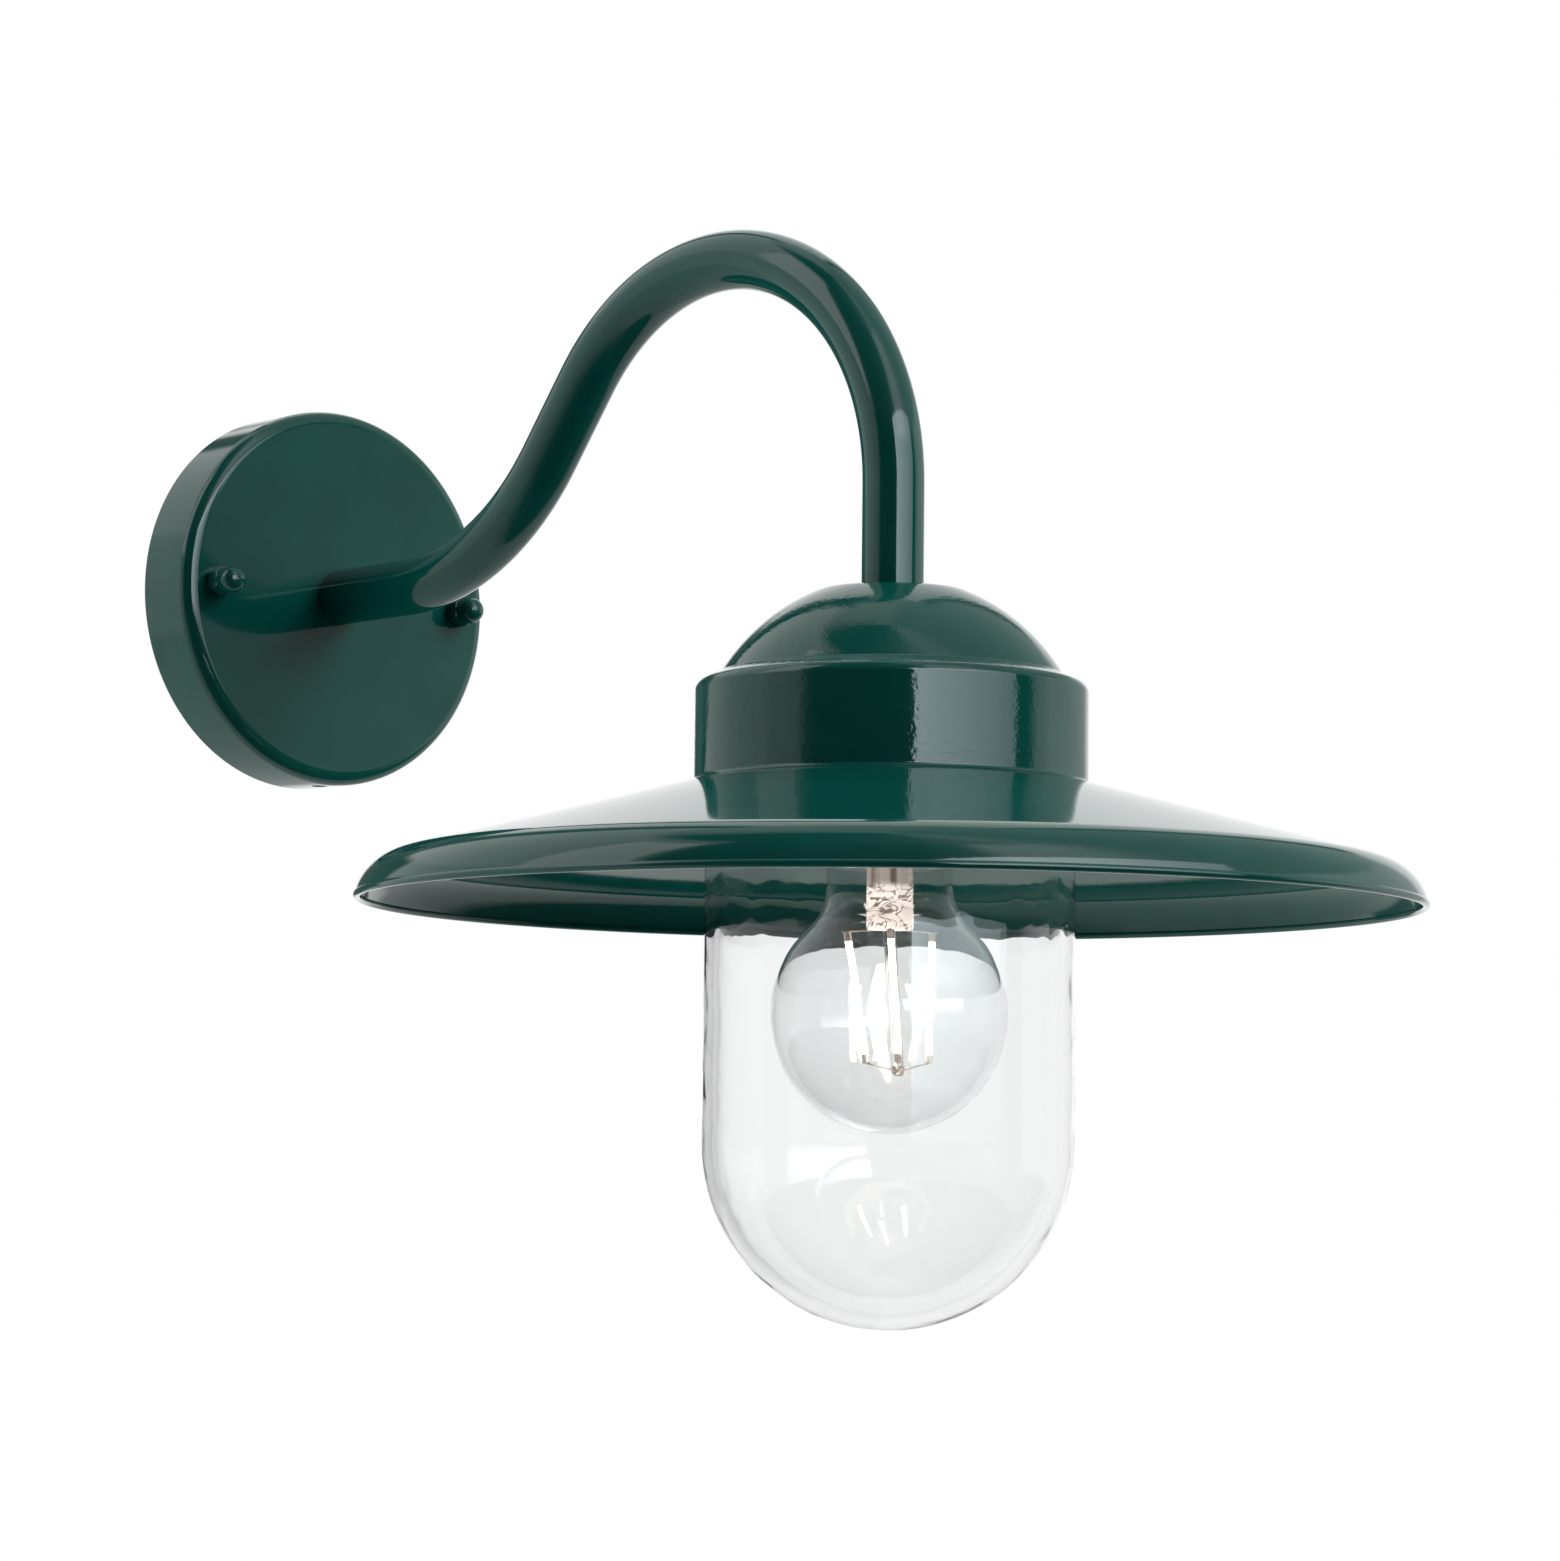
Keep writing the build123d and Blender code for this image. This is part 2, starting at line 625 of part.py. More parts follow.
def lampholder():
    """Porcelain lampholder with screw shell, centre contact and two wire terminals."""
    base_low = holder_top - holder_base_h
    profile = outline(
        (0, holder_top),
        (0, holder_floor),
        (holder_bore_r, holder_floor),
        (holder_bore_r, holder_mouth),
        (skirt_r, holder_mouth),
        (skirt_r, base_low),
        (holder_r, base_low),
        (holder_r, holder_top),
    )
    for corner in ((skirt_r, holder_mouth),):
        profile = rounded(profile, corner, holder_lip_r)
    body = turned(profile)
    slot_w = block_size + 2 * block_fit
    screw_level = holder_top - block_wire_depth / 2
    blocks = Part()
    block_screws = Part()
    for side in (-1, 1):
        body -= Pos(side * holder_screw_spread / 2, 0, 0) * bar(
            holder_screw_d / 2 + thread_gap, holder_top - holder_screw_depth - hole_gap, holder_top
        )
        x = wire_pitch if side > 0 else 0
        outward = Pos(x, 0, 0) * Rot(0, 0, 90 * side)
        pocket = Box(holder_r, slot_w, block_h + block_fit, align=(Align.MIN, Align.CENTER, Align.MAX))
        body -= outward * Pos(block_y - slot_w / 2, 0, holder_top) * pocket
        block = Pos(block_y, 0, holder_top) * Box(
            block_size, block_size, block_h, align=(Align.CENTER, Align.CENTER, Align.MAX)
        )
        wire_end = holder_top - block_wire_depth - hole_gap
        block -= Pos(block_y, 0, 0) * bar(wire_r + thread_gap, wire_end, holder_top)
        face = Pos(block_y + block_size / 2, 0, screw_level) * Rot(0, 90, 0)
        screw_len = block_size / 2 - wire_r - thread_gap
        block -= face * bar(block_clamp_d / 2 + thread_gap, -block_size / 2, 0)
        blocks += outward * block
        block_screws += outward * face * pan_screw(block_clamp_d, screw_len)
    nodes["lampholder_body"] = LAMP * body
    nodes["lampholder_terminals"] = LAMP * blocks
    nodes["lampholder_terminal_screws"] = LAMP * block_screws
    shell_low = holder_mouth + shell_inset
    shell = ring(shell_in_r + shell_t, shell_in_r, shell_low, shell_low + shell_len)
    nodes["lampholder_shell"] = LAMP * shell
    nodes["lampholder_contact"] = LAMP * centre_contact()


def centre_contact():
    """Bent brass tongue from the holder's floor down to the bulb's tip."""
    pad_start = -contact_pad / 2
    foot_end = pad_start - contact_ramp
    foot_start = foot_end - contact_foot
    pad_top = contact_level + contact_t
    profile = outline(
        (foot_start, holder_floor),
        (foot_end + contact_t / 2, holder_floor),
        (pad_start + contact_t / 2, pad_top),
        (-pad_start, pad_top),
        (-pad_start, contact_level),
        (pad_start, contact_level),
        (foot_end, holder_floor - contact_t),
        (foot_start, holder_floor - contact_t),
    )
    return extrude(Plane.XZ * profile, contact_w / 2, both=True)


def shade():
    """Spun sheet shade: flat clamped flange, long cone, rounded knuckle, skirt and hemmed rim."""
    slope = radians(shade_slope)
    skirt = radians(skirt_angle)
    sheet_mid = knuckle_r - shade_t / 2
    centre_r = shade_d / 2 - hem_r - sheet_mid * sin(skirt)
    flat_r = band_r + shade_flat_w
    bend_r = centre_r + knuckle_r * sin(slope)
    bend_z = head_bottom - (bend_r - flat_r) * tan(slope)
    centre_z = bend_z - knuckle_r * cos(slope)
    hole_r = rim_bore_r + hole_gap
    under_r = flat_r - shade_t * tan(slope / 2)
    turn = shade_slope - skirt_angle

    def knuckle(radius, angle):
        return (centre_r + radius * sin(angle), centre_z + radius * cos(angle))

    lower_r = knuckle_r - shade_t
    profile = make_face(
        [
            Polyline((hole_r, head_bottom), (flat_r, head_bottom), (bend_r, bend_z)),
            CenterArc((centre_r, centre_z), knuckle_r, 90 - shade_slope, turn),
            Line(knuckle(knuckle_r, skirt), knuckle(lower_r, skirt)),
            CenterArc((centre_r, centre_z), lower_r, 90 - shade_slope, turn),
            Polyline(knuckle(lower_r, slope), (under_r, ring_top), (hole_r, ring_top), (hole_r, head_bottom)),
        ]
    )
    profile += Pos(*knuckle(sheet_mid, skirt)) * Circle(hem_r)
    body = turned(profile)
    for spot in ring_screw_spots:
        body -= spot * bar(ring_screw_d / 2 + hole_gap, ring_top, head_bottom)
    nodes["shade"] = LAMP * body


def glass_ring():
    """Threaded ring that clamps the shade to the head and takes the glass, with its screws."""
    flange_r = band_r - ring_flange_inset
    profile = outline(
        (ring_bore_r, ring_low),
        (flange_r, ring_low),
        (flange_r, ring_top),
        (ring_spigot_r, ring_top),
        (ring_spigot_r, ring_top + ring_spigot_h),
        (ring_bore_r, ring_top + ring_spigot_h),
    )
    body = turned(rounded(profile, (flange_r, ring_low), foot_r))
    length = ring_flange_t + shade_t + ring_screw_depth
    slot = ring_screw_d * pan_slot_ratio
    screws = Part()
    for spot in ring_screw_spots:
        seat = spot * Pos(0, 0, ring_low)
        body -= seat * countersunk(thread_gap, length)
        screws += seat * (countersunk(0, length) - Box(ring_screw_head_d, slot, 2 * slot))
    nodes["glass_ring"] = LAMP * body
    nodes["glass_ring_screws"] = LAMP * screws
    seal_in_r = glass_neck_r + seal_gap
    nodes["glass_seal"] = LAMP * ring(seal_in_r + seal_w, seal_in_r, glass_shoulder, ring_low)


def glass_jar():
    """Pressed glass jar: plain neck, rounded shoulder, straight wall and round bottom."""
    neck_top = glass_shoulder + glass_neck_h
    neck_in_r = glass_neck_r - glass_wall
    inner_r = glass_r - glass_wall
    inner_shoulder = glass_shoulder - glass_wall
    profile = make_face(
        [
            CenterArc((0, glass_centre), glass_r, -90, 90),
            Polyline(
                (glass_r, glass_centre),
                (glass_r, glass_shoulder),
                (glass_neck_r, glass_shoulder),
                (glass_neck_r, neck_top),
                (neck_in_r, neck_top),
                (neck_in_r, inner_shoulder),
                (inner_r, inner_shoulder),
                (inner_r, glass_centre),
            ),
            CenterArc((0, glass_centre), inner_r, 0, -90),
            Line((0, glass_bottom + glass_wall), (0, glass_bottom)),
        ]
    )
    profile = rounded(profile, (glass_r, glass_shoulder), glass_shoulder_r)
    for corner in ((neck_in_r, inner_shoulder), (inner_r, inner_shoulder)):
        profile = rounded(profile, corner, glass_blend_r)
    for corner in ((glass_neck_r, neck_top), (neck_in_r, neck_top)):
        profile = rounded(profile, corner, glass_lip_r)
    nodes["glass_jar"] = LAMP * turned(profile)


def bulb_side(wall):
    """Bulb's side line at a depth inside its surface, from the bottom up to the tail in the cap."""
    ball_r = bulb_r - wall
    blend = bulb_neck_blend + wall
    side_r = neck_r - wall
    across = side_r + blend
    blend_z = bulb_centre + sqrt((ball_r + blend) ** 2 - across**2)
    lean = degrees(atan2(blend_z - bulb_centre, across))
    return [
        CenterArc((0, bulb_centre), ball_r, -90, 90 + lean),
        CenterArc((across, blend_z), blend, 180 + lean, -lean),
        Polyline(
            (side_r, blend_z),
            (side_r, cap_rim - bulb_taper_h),
            (throat_r - wall, cap_rim),
            (throat_r - wall, cap_rim + bulb_tail),
        ),
    ]


def bulb():
    """Filament bulb: envelope, screw cap, insulator, tip, stem, filaments and lead wires."""
    profile = make_face(
        [
            *bulb_side(0),
            Line((throat_r, cap_rim + bulb_tail), (throat_r - bulb_wall, cap_rim + bulb_tail)),
            *bulb_side(bulb_wall),
            Line((0, bulb_bottom), (0, bulb_bottom + bulb_wall)),
        ]
    )
    nodes["bulb_envelope"] = LAMP * turned(profile)
    tip_low = tip_top - tip_h
    cap_top = tip_low - insulator_h
    tip_r = tip_d / 2
    tip = outline((0, tip_low), (tip_r, tip_low), (tip_r, tip_top), (0, tip_top))
    nodes["bulb_tip"] = LAMP * turned(rounded(tip, (tip_r, tip_top), tip_h / 2))
    cone_r = cap_r - bulb_cap_t / 2
    cone = outline((0, cap_top), (cone_r, cap_top), (tip_r + bulb_cap_t, tip_low), (0, tip_low))
    nodes["bulb_cap_insulator"] = LAMP * turned(cone)
    nodes["bulb_cap"] = LAMP * ring(cap_r, cap_r - bulb_cap_t, cap_rim, cap_top)
    bulb_stem()
    bulb_filaments()


def bulb_stem():
    """Flared glass stem with a pressed end and a thin rod that ends in a bead."""
    flare_r = throat_r - bulb_wall - cement_gap
    rod_r = stem_rod_d / 2
    rod_end = stem_end - stem_rod_len
    bore_r = stem_r - stem_wall
    profile = outline(
        (bore_r, stem_top),
        (flare_r, stem_top),
        (stem_r, stem_top - stem_flare_h),
        (stem_r, stem_end),
        (rod_r, stem_end),
        (rod_r, rod_end),
        (0, rod_end),
        (0, stem_end + stem_press_h),
        (bore_r, stem_end + stem_press_h),
    )
    profile = rounded(profile, (stem_r, stem_end), stem_wall)
    bead = Pos(0, 0, rod_end) * Sphere(stem_bead_d / 2)
    nodes["bulb_stem"] = LAMP * (turned(profile) + bead)


def bulb_filaments():
    """Ring of straight filaments, wired to the stem at the top and to the bead at the foot."""
    top = stem_end - filament_drop
    foot = top - filament_len
    filament_r = filament_d / 2
    bead_level = stem_end - stem_rod_len
    filaments = Part()
    leads = Part()
    for number in range(filament_count):
        angle = filament_start + number * 360 / filament_count
        filament_top = polar(filament_top_r, angle, top)
        filaments += rod(filament_top, polar(filament_foot_r, angle, foot), filament_r)
        leads += rod(
            polar(stem_r + lead_gap, angle, stem_end + stem_wall + lead_d),
            polar(filament_top_r - filament_r - lead_gap, angle, top - filament_r),
            lead_d / 2,
        )
        leads += rod(
            polar(stem_bead_d / 2 + lead_gap, angle, bead_level),
            polar(filament_foot_r - filament_r - lead_gap, angle, foot + filament_r),
            lead_d / 2,
        )
    nodes["bulb_filaments"] = LAMP * filaments
    nodes["bulb_leads"] = LAMP * leads


wall_canopy()
wall_bracket()
cap_nuts()
terminal_block()
earth_fitting("wall", OUT * Pos(-wall_earth_x, 0, bracket_t), bracket_t)
arm_end("wall", Plane(origin=(0, -canopy_depth, 0), x_dir=(1, 0, 0), z_dir=(0, 1, 0)), canopy_wall)
swan_neck_arm()
arm_end("head", Plane(origin=(0, -reach, head_top), x_dir=(1, 0, 0), z_dir=(0, 0, -1)), head_top_wall)
wires()
lamp_head()
earth_fitting("head", Plane(origin=earth_spot, x_dir=-earth_turn, z_dir=(0, 0, -1)), earth_screw_depth)
holder_strap()
lampholder()
shade()
glass_ring()
glass_jar()
bulb()

os.makedirs("parts", exist_ok=True)
for name, shape in nodes.items():
    export_step(shape, f"parts/{name}.step")
print(f"{len(nodes)} nodes, reach {reach:.1f}, canopy depth {canopy_depth:.1f}, tube {2 * arm_r:.1f}")
print(f"head {head_top:.1f} to {head_bottom:.1f}, band {2 * band_r:.1f}, glass {2 * glass_r:.1f}")
print(f"glass bottom {glass_bottom:.1f}, bulb bottom {bulb_bottom:.1f}, holder mouth {holder_mouth:.1f}")
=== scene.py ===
import json
import math

import bmesh
import bpy
from mathutils import Matrix, Vector


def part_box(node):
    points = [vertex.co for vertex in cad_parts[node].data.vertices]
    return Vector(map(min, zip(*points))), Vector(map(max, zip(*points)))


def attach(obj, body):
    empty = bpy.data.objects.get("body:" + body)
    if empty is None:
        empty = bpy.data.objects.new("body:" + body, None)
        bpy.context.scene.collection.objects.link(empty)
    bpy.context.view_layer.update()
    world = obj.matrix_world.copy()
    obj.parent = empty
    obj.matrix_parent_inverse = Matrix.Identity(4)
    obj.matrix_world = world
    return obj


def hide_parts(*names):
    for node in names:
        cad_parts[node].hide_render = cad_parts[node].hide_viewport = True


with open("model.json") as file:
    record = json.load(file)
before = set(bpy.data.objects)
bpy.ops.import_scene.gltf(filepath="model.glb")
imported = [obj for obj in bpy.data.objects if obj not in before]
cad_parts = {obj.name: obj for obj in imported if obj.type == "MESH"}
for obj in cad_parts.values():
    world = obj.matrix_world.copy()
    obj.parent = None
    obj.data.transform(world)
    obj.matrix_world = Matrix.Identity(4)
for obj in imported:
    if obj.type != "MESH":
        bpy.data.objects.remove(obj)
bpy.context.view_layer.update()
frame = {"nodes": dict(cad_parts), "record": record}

# Outdoor wall light in metres and degrees: origin on the wall, +Y into the wall, +Z up.

# Places and sizes that the frame gives
canopy_low, canopy_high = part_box("wall_canopy")
arm_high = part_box("swan_neck_arm")[1]
head_low, head_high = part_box("lamp_head")
strap_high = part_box("holder_strap")[1]
shade_low, shade_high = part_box("shade")
seal_low, seal_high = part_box("glass_seal")
jar_low, jar_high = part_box("glass_jar")
bulb_low, bulb_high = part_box("bulb_envelope")
cap_low, cap_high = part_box("bulb_cap")
stem_low, stem_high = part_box("bulb_stem")
nuts_low, nuts_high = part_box("cap_nuts")
filaments_low, filaments_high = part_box("bulb_filaments")
lamp_y = (shade_low.y + shade_high.y) / 2
LAMP = Matrix.Translation((0, lamp_y, 0))
OUT_OF_WALL = Matrix.Rotation(math.pi / 2, 4, "X")

# Swan-neck arm
arm_r = arm_high.x
arm_wall = 0.0015
root_straight = 0.0304
root_bend_r = 0.080
rise_angle = 51.7
rise_straight = 0.025
arch_r = 0.0675
drop_straight = 0.028

# Wall canopy and its nuts
canopy_r = canopy_high.x
canopy_depth = -canopy_low.y
canopy_wall = 0.0015
canopy_edge_r = 0.004
canopy_hole_r = 0.0052
drain_r = 0.00225
drain_from_wall = 0.0125
nut_af = 0.008
nut_hex_h = 0.004
nut_ease = 0.0005
nut_dome_r = 0.0038
nut_x = nuts_high.x - nut_af / math.sqrt(3)

# Lamp head
band_r = head_high.x
head_top = head_high.z
head_foot = head_low.z
strap_in_dome = 0.0031
dome_base = strap_high.z - strap_in_dome
dome_flat_r = 0.0192
shoulder_w = 0.0064
dome_base_r = band_r - shoulder_w
shoulder_drop = 0.00275
shoulder_ease = 0.0018
cove_ease = 0.00033
head_wall = 0.003
head_top_wall = 0.0022
head_hole_r = 0.0052
rim_w = 0.0071
rim_bore_r = band_r - rim_w
rim_h = 0.012
foot_flare = 0.0012

# Shade
shade_r = shade_high.x
sheet = 0.0012
shade_slope = 14.7
shade_flat_w = 0.0005
shade_hole_gap = 0.00025
shade_hole_r = rim_bore_r + shade_hole_gap
knuckle_r = 0.0135
skirt_angle = 80.0
hem_r = 0.001

# Glass jar and its seal
jar_r = jar_high.x
jar_wall = 0.004
jar_neck_step = 0.007
jar_neck_r = jar_r - jar_neck_step
jar_shoulder = seal_low.z
jar_shoulder_r = 0.005
jar_lip = 0.0015
jar_blend = 0.0025
jar_pitch = 0.004
jar_thread_depth = 0.0009
seal_r = seal_high.x
seal_w = 0.0027
seal_ease = 0.0008
seal_lift = 0.00005

# Bulb
bulb_r = bulb_high.x
bulb_wall = 0.0008
bulb_neck_r = 0.016
bulb_neck_blend = 0.015
bulb_taper_h = 0.008
bulb_throat_r = 0.0126
cap_r = cap_high.x
cap_sheet = 0.00035
cap_pitch = 0.003629
cap_thread_depth = 0.0008
stem_r = 0.006
stem_wall = 0.0012
stem_flare_h = 0.005
stem_flare_r = 0.0117
stem_press_h = 0.006
stem_rod_r = 0.0016
stem_rod_len = 0.035
stem_bead_r = 0.0018
rod_end = stem_low.z + stem_bead_r
stem_foot = rod_end + stem_rod_len
filament_r = 0.0008
filament_count = 4
filament_turn = -43.6
filament_top_r = 0.0106
filament_foot_r = 0.008
filament_tab = 0.0022
lead_r = 0.0002
tab_r = 0.00095
lead_overhang = 0.0014
feed_wire_x = 0.003
press_squeeze = 0.5
press_reach = 0.75
mount_lean = 0.0024

# Camera, soft box and room; room tones are by degrees to the right of the camera
camera_azimuth = -43.3715
camera_elevation = -5.4507
camera_roll = 0.63617
camera_place = (-0.79027, -1.04546, -0.17523)
camera_lens = 102.28
camera_sensor = 36.0
camera_near = 0.01
box_turn = 43.0
box_rise = 14.2
box_distance = 1.6
box_size = (1.96, 1.19)
box_power = 27.0
box_shares = (1.58, 0.47)
box_tint = (0.86, 1.0, 1.05, 1.0)
box_foot = 0.24
card_turn = 89.0
card_rise = 9.0
card_distance = 0.83
card_size = (0.34, 0.34)
card_power = 0.15
card_shares = (0.6, 1.35)
card_foot_share = 1.3
card_top_share = 0.75
key_turn = 74.0
key_rise = 30.0
key_distance = 2.0
key_size = (1.2, 1.2)
key_power = 64.0
room_fill = (
    (-180, 0.8), (-140, 2.7), (-100, 3.6), (-70, 2.4), (-40, 0.12), (-15, 0.1), (40, 0.2), (70, 0.6),
    (110, 1.4), (150, 1.2), (180, 0.8)
)
room_below = (
    (-180, 0.55), (-95, 0.58), (-65, 0.6), (-52, 0.35), (-40, 0.1), (-30, 0.03), (112, 0.03), (125, 0.6),
    (180, 0.7)
)
room_level = (
    (-180, 1.2), (-170, 1.15), (-166, 0.1), (-141, 0.06), (-138, 0.82), (-120, 0.85), (-100, 0.8), (-80, 0.8),
    (-76, 0.66), (-58, 0.62), (-52, 0.1), (-46, 0.02), (77, 0.02), (86, 0.04), (91, 0.85), (100, 1.0),
    (104, 1.15), (112, 1.0), (124, 0.82), (140, 0.64), (152, 0.58), (156, 1.05), (180, 1.2)
)
room_high = (
    (-180, 1.25), (-163, 1.2), (-160, 0.1), (-153, 0.1), (-150, 1.0), (-135, 1.05), (-105, 1.1), (-92, 1.05),
    (-60, 0.8), (-57, 0.1), (-48, 0.04), (-20, 0.06), (8, 0.12), (20, 0.4), (28, 1.7), (50, 1.6), (62, 1.0),
    (72, 0.6), (85, 0.5), (155, 0.48), (157, 0.12), (160, 0.12), (163, 1.1), (180, 1.25)
)
room_top = (
    (-180, 0.7), (-150, 0.75), (-125, 0.7), (-112, 0.35), (-100, 0.05), (-52, 0.04), (-20, 0.12), (10, 0.25),
    (30, 0.7), (45, 0.95), (60, 0.75), (75, 0.5), (165, 0.5), (180, 0.7)
)
below_edge = (-14.0, -9.0)
high_edge = (22.0, 26.0)
top_edge = (61.0, 66.0)
left_panel = (-92.0, -60.0, 18.0, 60.0, 1.9)
panel_soft = 2.0
room_behind = (
    (-180, 1.0), (-165, 0.95), (-150, 0.62), (-120, 0.45), (-60, 0.5), (80, 0.5), (100, 0.8), (140, 0.95),
    (180, 1.0)
)
behind_fade = (-65.0, -20.0, 0.65, 1.0)
floor_r = 5.0
floor_z = -0.55
floor_fade = (1.0, 3.0)

# How finely round things are divided
TURN_STEPS = 160
SHADE_TURN_STEPS = 224
BULB_TURN_STEPS = 128
CAP_TURN_STEPS = 96
STEM_TURN_STEPS = 64
SMALL_TURN_STEPS = 48
PIN_TURN_STEPS = 16
TUBE_STEPS = 64
ROOT_BEND_STEPS = 40
ARCH_STEPS = 72
ARC_STEPS = 20
DOME_STEPS = 28
FLARE_STEPS = 8
KNUCKLE_STEPS = 24
HEM_STEPS = 16
JAR_ARC_STEPS = 40
BULB_ARC_STEPS = 48
EASE_STEPS = 5
NUT_EASE_STEPS = 3
SHADE_LOOPS = 24
JAR_LOOPS = 12
JAR_THREAD_LOOPS = 48
CAP_THREAD_LOOPS = 72
STEM_LOOPS = 20
STEM_BORE_LOOPS = 12
FLOOR_STEPS = 96
SHARP = math.radians(32)
SAME_POINT = 1e-6


class SideLine:
    """Half section drawn from point to point in the X-Z plane, then turned about Z."""

    def __init__(self, r, z):
        self.bm = bmesh.new()
        self.first = self.last = self.bm.verts.new((r, 0, z))
        self.corners = []

    def to(self, r, z, ease=0, loops=0):
        """Straight to a point. Its corner is eased by a set-back, and the run may get extra loops."""
        step = (Vector((r, 0, z)) - self.last.co) / (loops + 1)
        for _ in range(loops + 1):
            self.last = bmesh.ops.extrude_vert_indiv(self.bm, verts=[self.last])["verts"][0]
            bmesh.ops.translate(self.bm, verts=[self.last], vec=step)
        if ease:
            self.corners.append((self.last, ease))
        return self

    def arc(self, r, z, turn, steps=ARC_STEPS):
        """Round about a centre, anticlockwise if the turn is positive."""
        made = bmesh.ops.spin(
            self.bm, geom=[self.last], cent=(r, 0, z), axis=(0, -1, 0), angle=math.radians(turn), steps=steps
        )
        self.last = made["geom_last"][0]
        return self

    def close(self):
        """Back to the first point."""
        self.bm.edges.new((self.last, self.first))
        return self

    def turned(self, steps=TURN_STEPS):
        """Ease the corners and spin the section all the way round."""
        for point, ease in self.corners:
            bmesh.ops.bevel(
                self.bm, geom=[point], offset=ease, offset_type="OFFSET", affect="VERTICES",
                segments=EASE_STEPS, profile=0.5, material=-1,
            )
        bmesh.ops.spin(
            self.bm, geom=self.bm.verts[:] + self.bm.edges[:], cent=(0, 0, 0), axis=(0, 0, 1),
            angle=math.tau, steps=steps, use_merge=True,
        )
        return outward(self.bm)


class Tube:
    """Ring of edges led along straight runs and bends."""

    def __init__(self, start, along, radius):
        self.bm = bmesh.new()
        self.at = Vector(start)
        self.along = Vector(along).normalized()
        facing = self.along.to_track_quat("Z", "Y").to_matrix().to_4x4()
        place = Matrix.Translation(self.at) @ facing
        bmesh.ops.create_circle(self.bm, cap_ends=False, segments=TUBE_STEPS, radius=radius, matrix=place)
        self.ring = self.bm.edges[:]

    def straight(self, length):
        """Straight on."""
        made = bmesh.ops.extrude_edge_only(self.bm, edges=self.ring)["geom"]
        points = [item for item in made if isinstance(item, bmesh.types.BMVert)]
        bmesh.ops.translate(self.bm, verts=points, vec=self.along * length)
        self.ring = rim_of(made, points)
        self.at += self.along * length
        return self

    def bend(self, radius, turn, axis, steps):
        """Round about an axis, which stands off to the side of the bend."""
        axis = Vector(axis)
        centre = self.at + axis.cross(self.along) * radius
        made = bmesh.ops.spin(
            self.bm, geom=self.ring, cent=centre, axis=axis, angle=math.radians(turn), steps=steps
        )
        self.ring = [item for item in made["geom_last"] if isinstance(item, bmesh.types.BMEdge)]
        turning = Matrix.Rotation(math.radians(turn), 3, axis)
        self.at = centre + turning @ (self.at - centre)
        self.along = turning @ self.along
        return self

    def walled(self, thickness):
        """Give the open tube a wall on its inside."""
        outward(self.bm)
        bmesh.ops.solidify(self.bm, geom=self.bm.faces[:], thickness=thickness)
        return self.bm

    def capped(self):
        """Close both ends."""
        bmesh.ops.holes_fill(self.bm, edges=[edge for edge in self.bm.edges if edge.is_boundary])
        return outward(self.bm)


def rim_of(items, points):
    """Edges among the items that lie wholly on the points."""
    on_rim = set(points)
    edges = [item for item in items if isinstance(item, bmesh.types.BMEdge)]
    return [edge for edge in edges if on_rim.issuperset(edge.verts)]


def outward(bm):
    """Merge doubles and turn every face outwards."""
    bmesh.ops.remove_doubles(bm, verts=bm.verts[:], dist=SAME_POINT)
    bmesh.ops.recalc_face_normals(bm, faces=bm.faces[:])
    return bm


def joined(*parts):
    """One bmesh from several, each with its place."""
    whole = bmesh.new()
    for bm, place in parts:
        bmesh.ops.transform(bm, matrix=place, verts=bm.verts[:])
        mesh = bpy.data.meshes.new("part")
        bm.to_mesh(mesh)
        bm.free()
        whole.from_mesh(mesh)
        bpy.data.meshes.remove(mesh)
    return whole


def eased_rod(start, end, radius, ease, steps=PIN_TURN_STEPS):
    """Closed round rod between two points with eased ends."""
    run = Vector(end) - Vector(start)
    bm = SideLine(0, 0).to(radius, 0, ease).to(radius, run.length, ease).to(0, run.length).turned(steps)
    facing = run.to_track_quat("Z", "Y").to_matrix().to_4x4()
    bmesh.ops.transform(bm, matrix=Matrix.Translation(start) @ facing, verts=bm.verts[:])
    return bm


def polar(radius, angle, z):
    """Point at a radius, angle and height about the lamp's axis."""
    turn = math.radians(angle)
    return Vector((radius * math.cos(turn), radius * math.sin(turn), z))


def roll_thread(bm, low, high, pitch, depth, least_r):
    """Roll a round right-hand thread into the walls outside a radius, fading out over one pitch."""
    for point in bm.verts:
        x, y, z = point.co
        radius = math.hypot(x, y)
        if radius < least_r or not low < z < high:
            continue
        fade = min(1, (z - low) / pitch, (high - z) / pitch)
        phase = math.tau * z / pitch - math.atan2(y, x)
        sink = depth * fade * (1 - math.cos(phase)) / 2
        point.co.xy *= (radius - sink) / radius


def show(name, bm, place, body, slot, node, finish=None):
    """Show a node's piece from a bmesh, in its place, on its body and in a finish of its slot."""
    bmesh.ops.transform(bm, matrix=place, verts=bm.verts[:])
    mesh = bpy.data.meshes.new(name)
    bm.to_mesh(mesh)
    bm.free()
    piece = bpy.data.objects.new(name, mesh)
    bpy.context.scene.collection.objects.link(piece)
    finish_edges(piece)
    mesh.materials.append(finishes[finish or slot])
    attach(piece, body)
    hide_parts(node)
    return piece


def finish_edges(piece):
    """Smooth the faces between sharp corners and let the large faces lead the shine."""
    piece.data.shade_smooth()
    piece.data.set_sharp_from_angle(angle=SHARP)
    even = piece.modifiers.new("even_shine", "WEIGHTED_NORMAL")
    even.keep_sharp = True


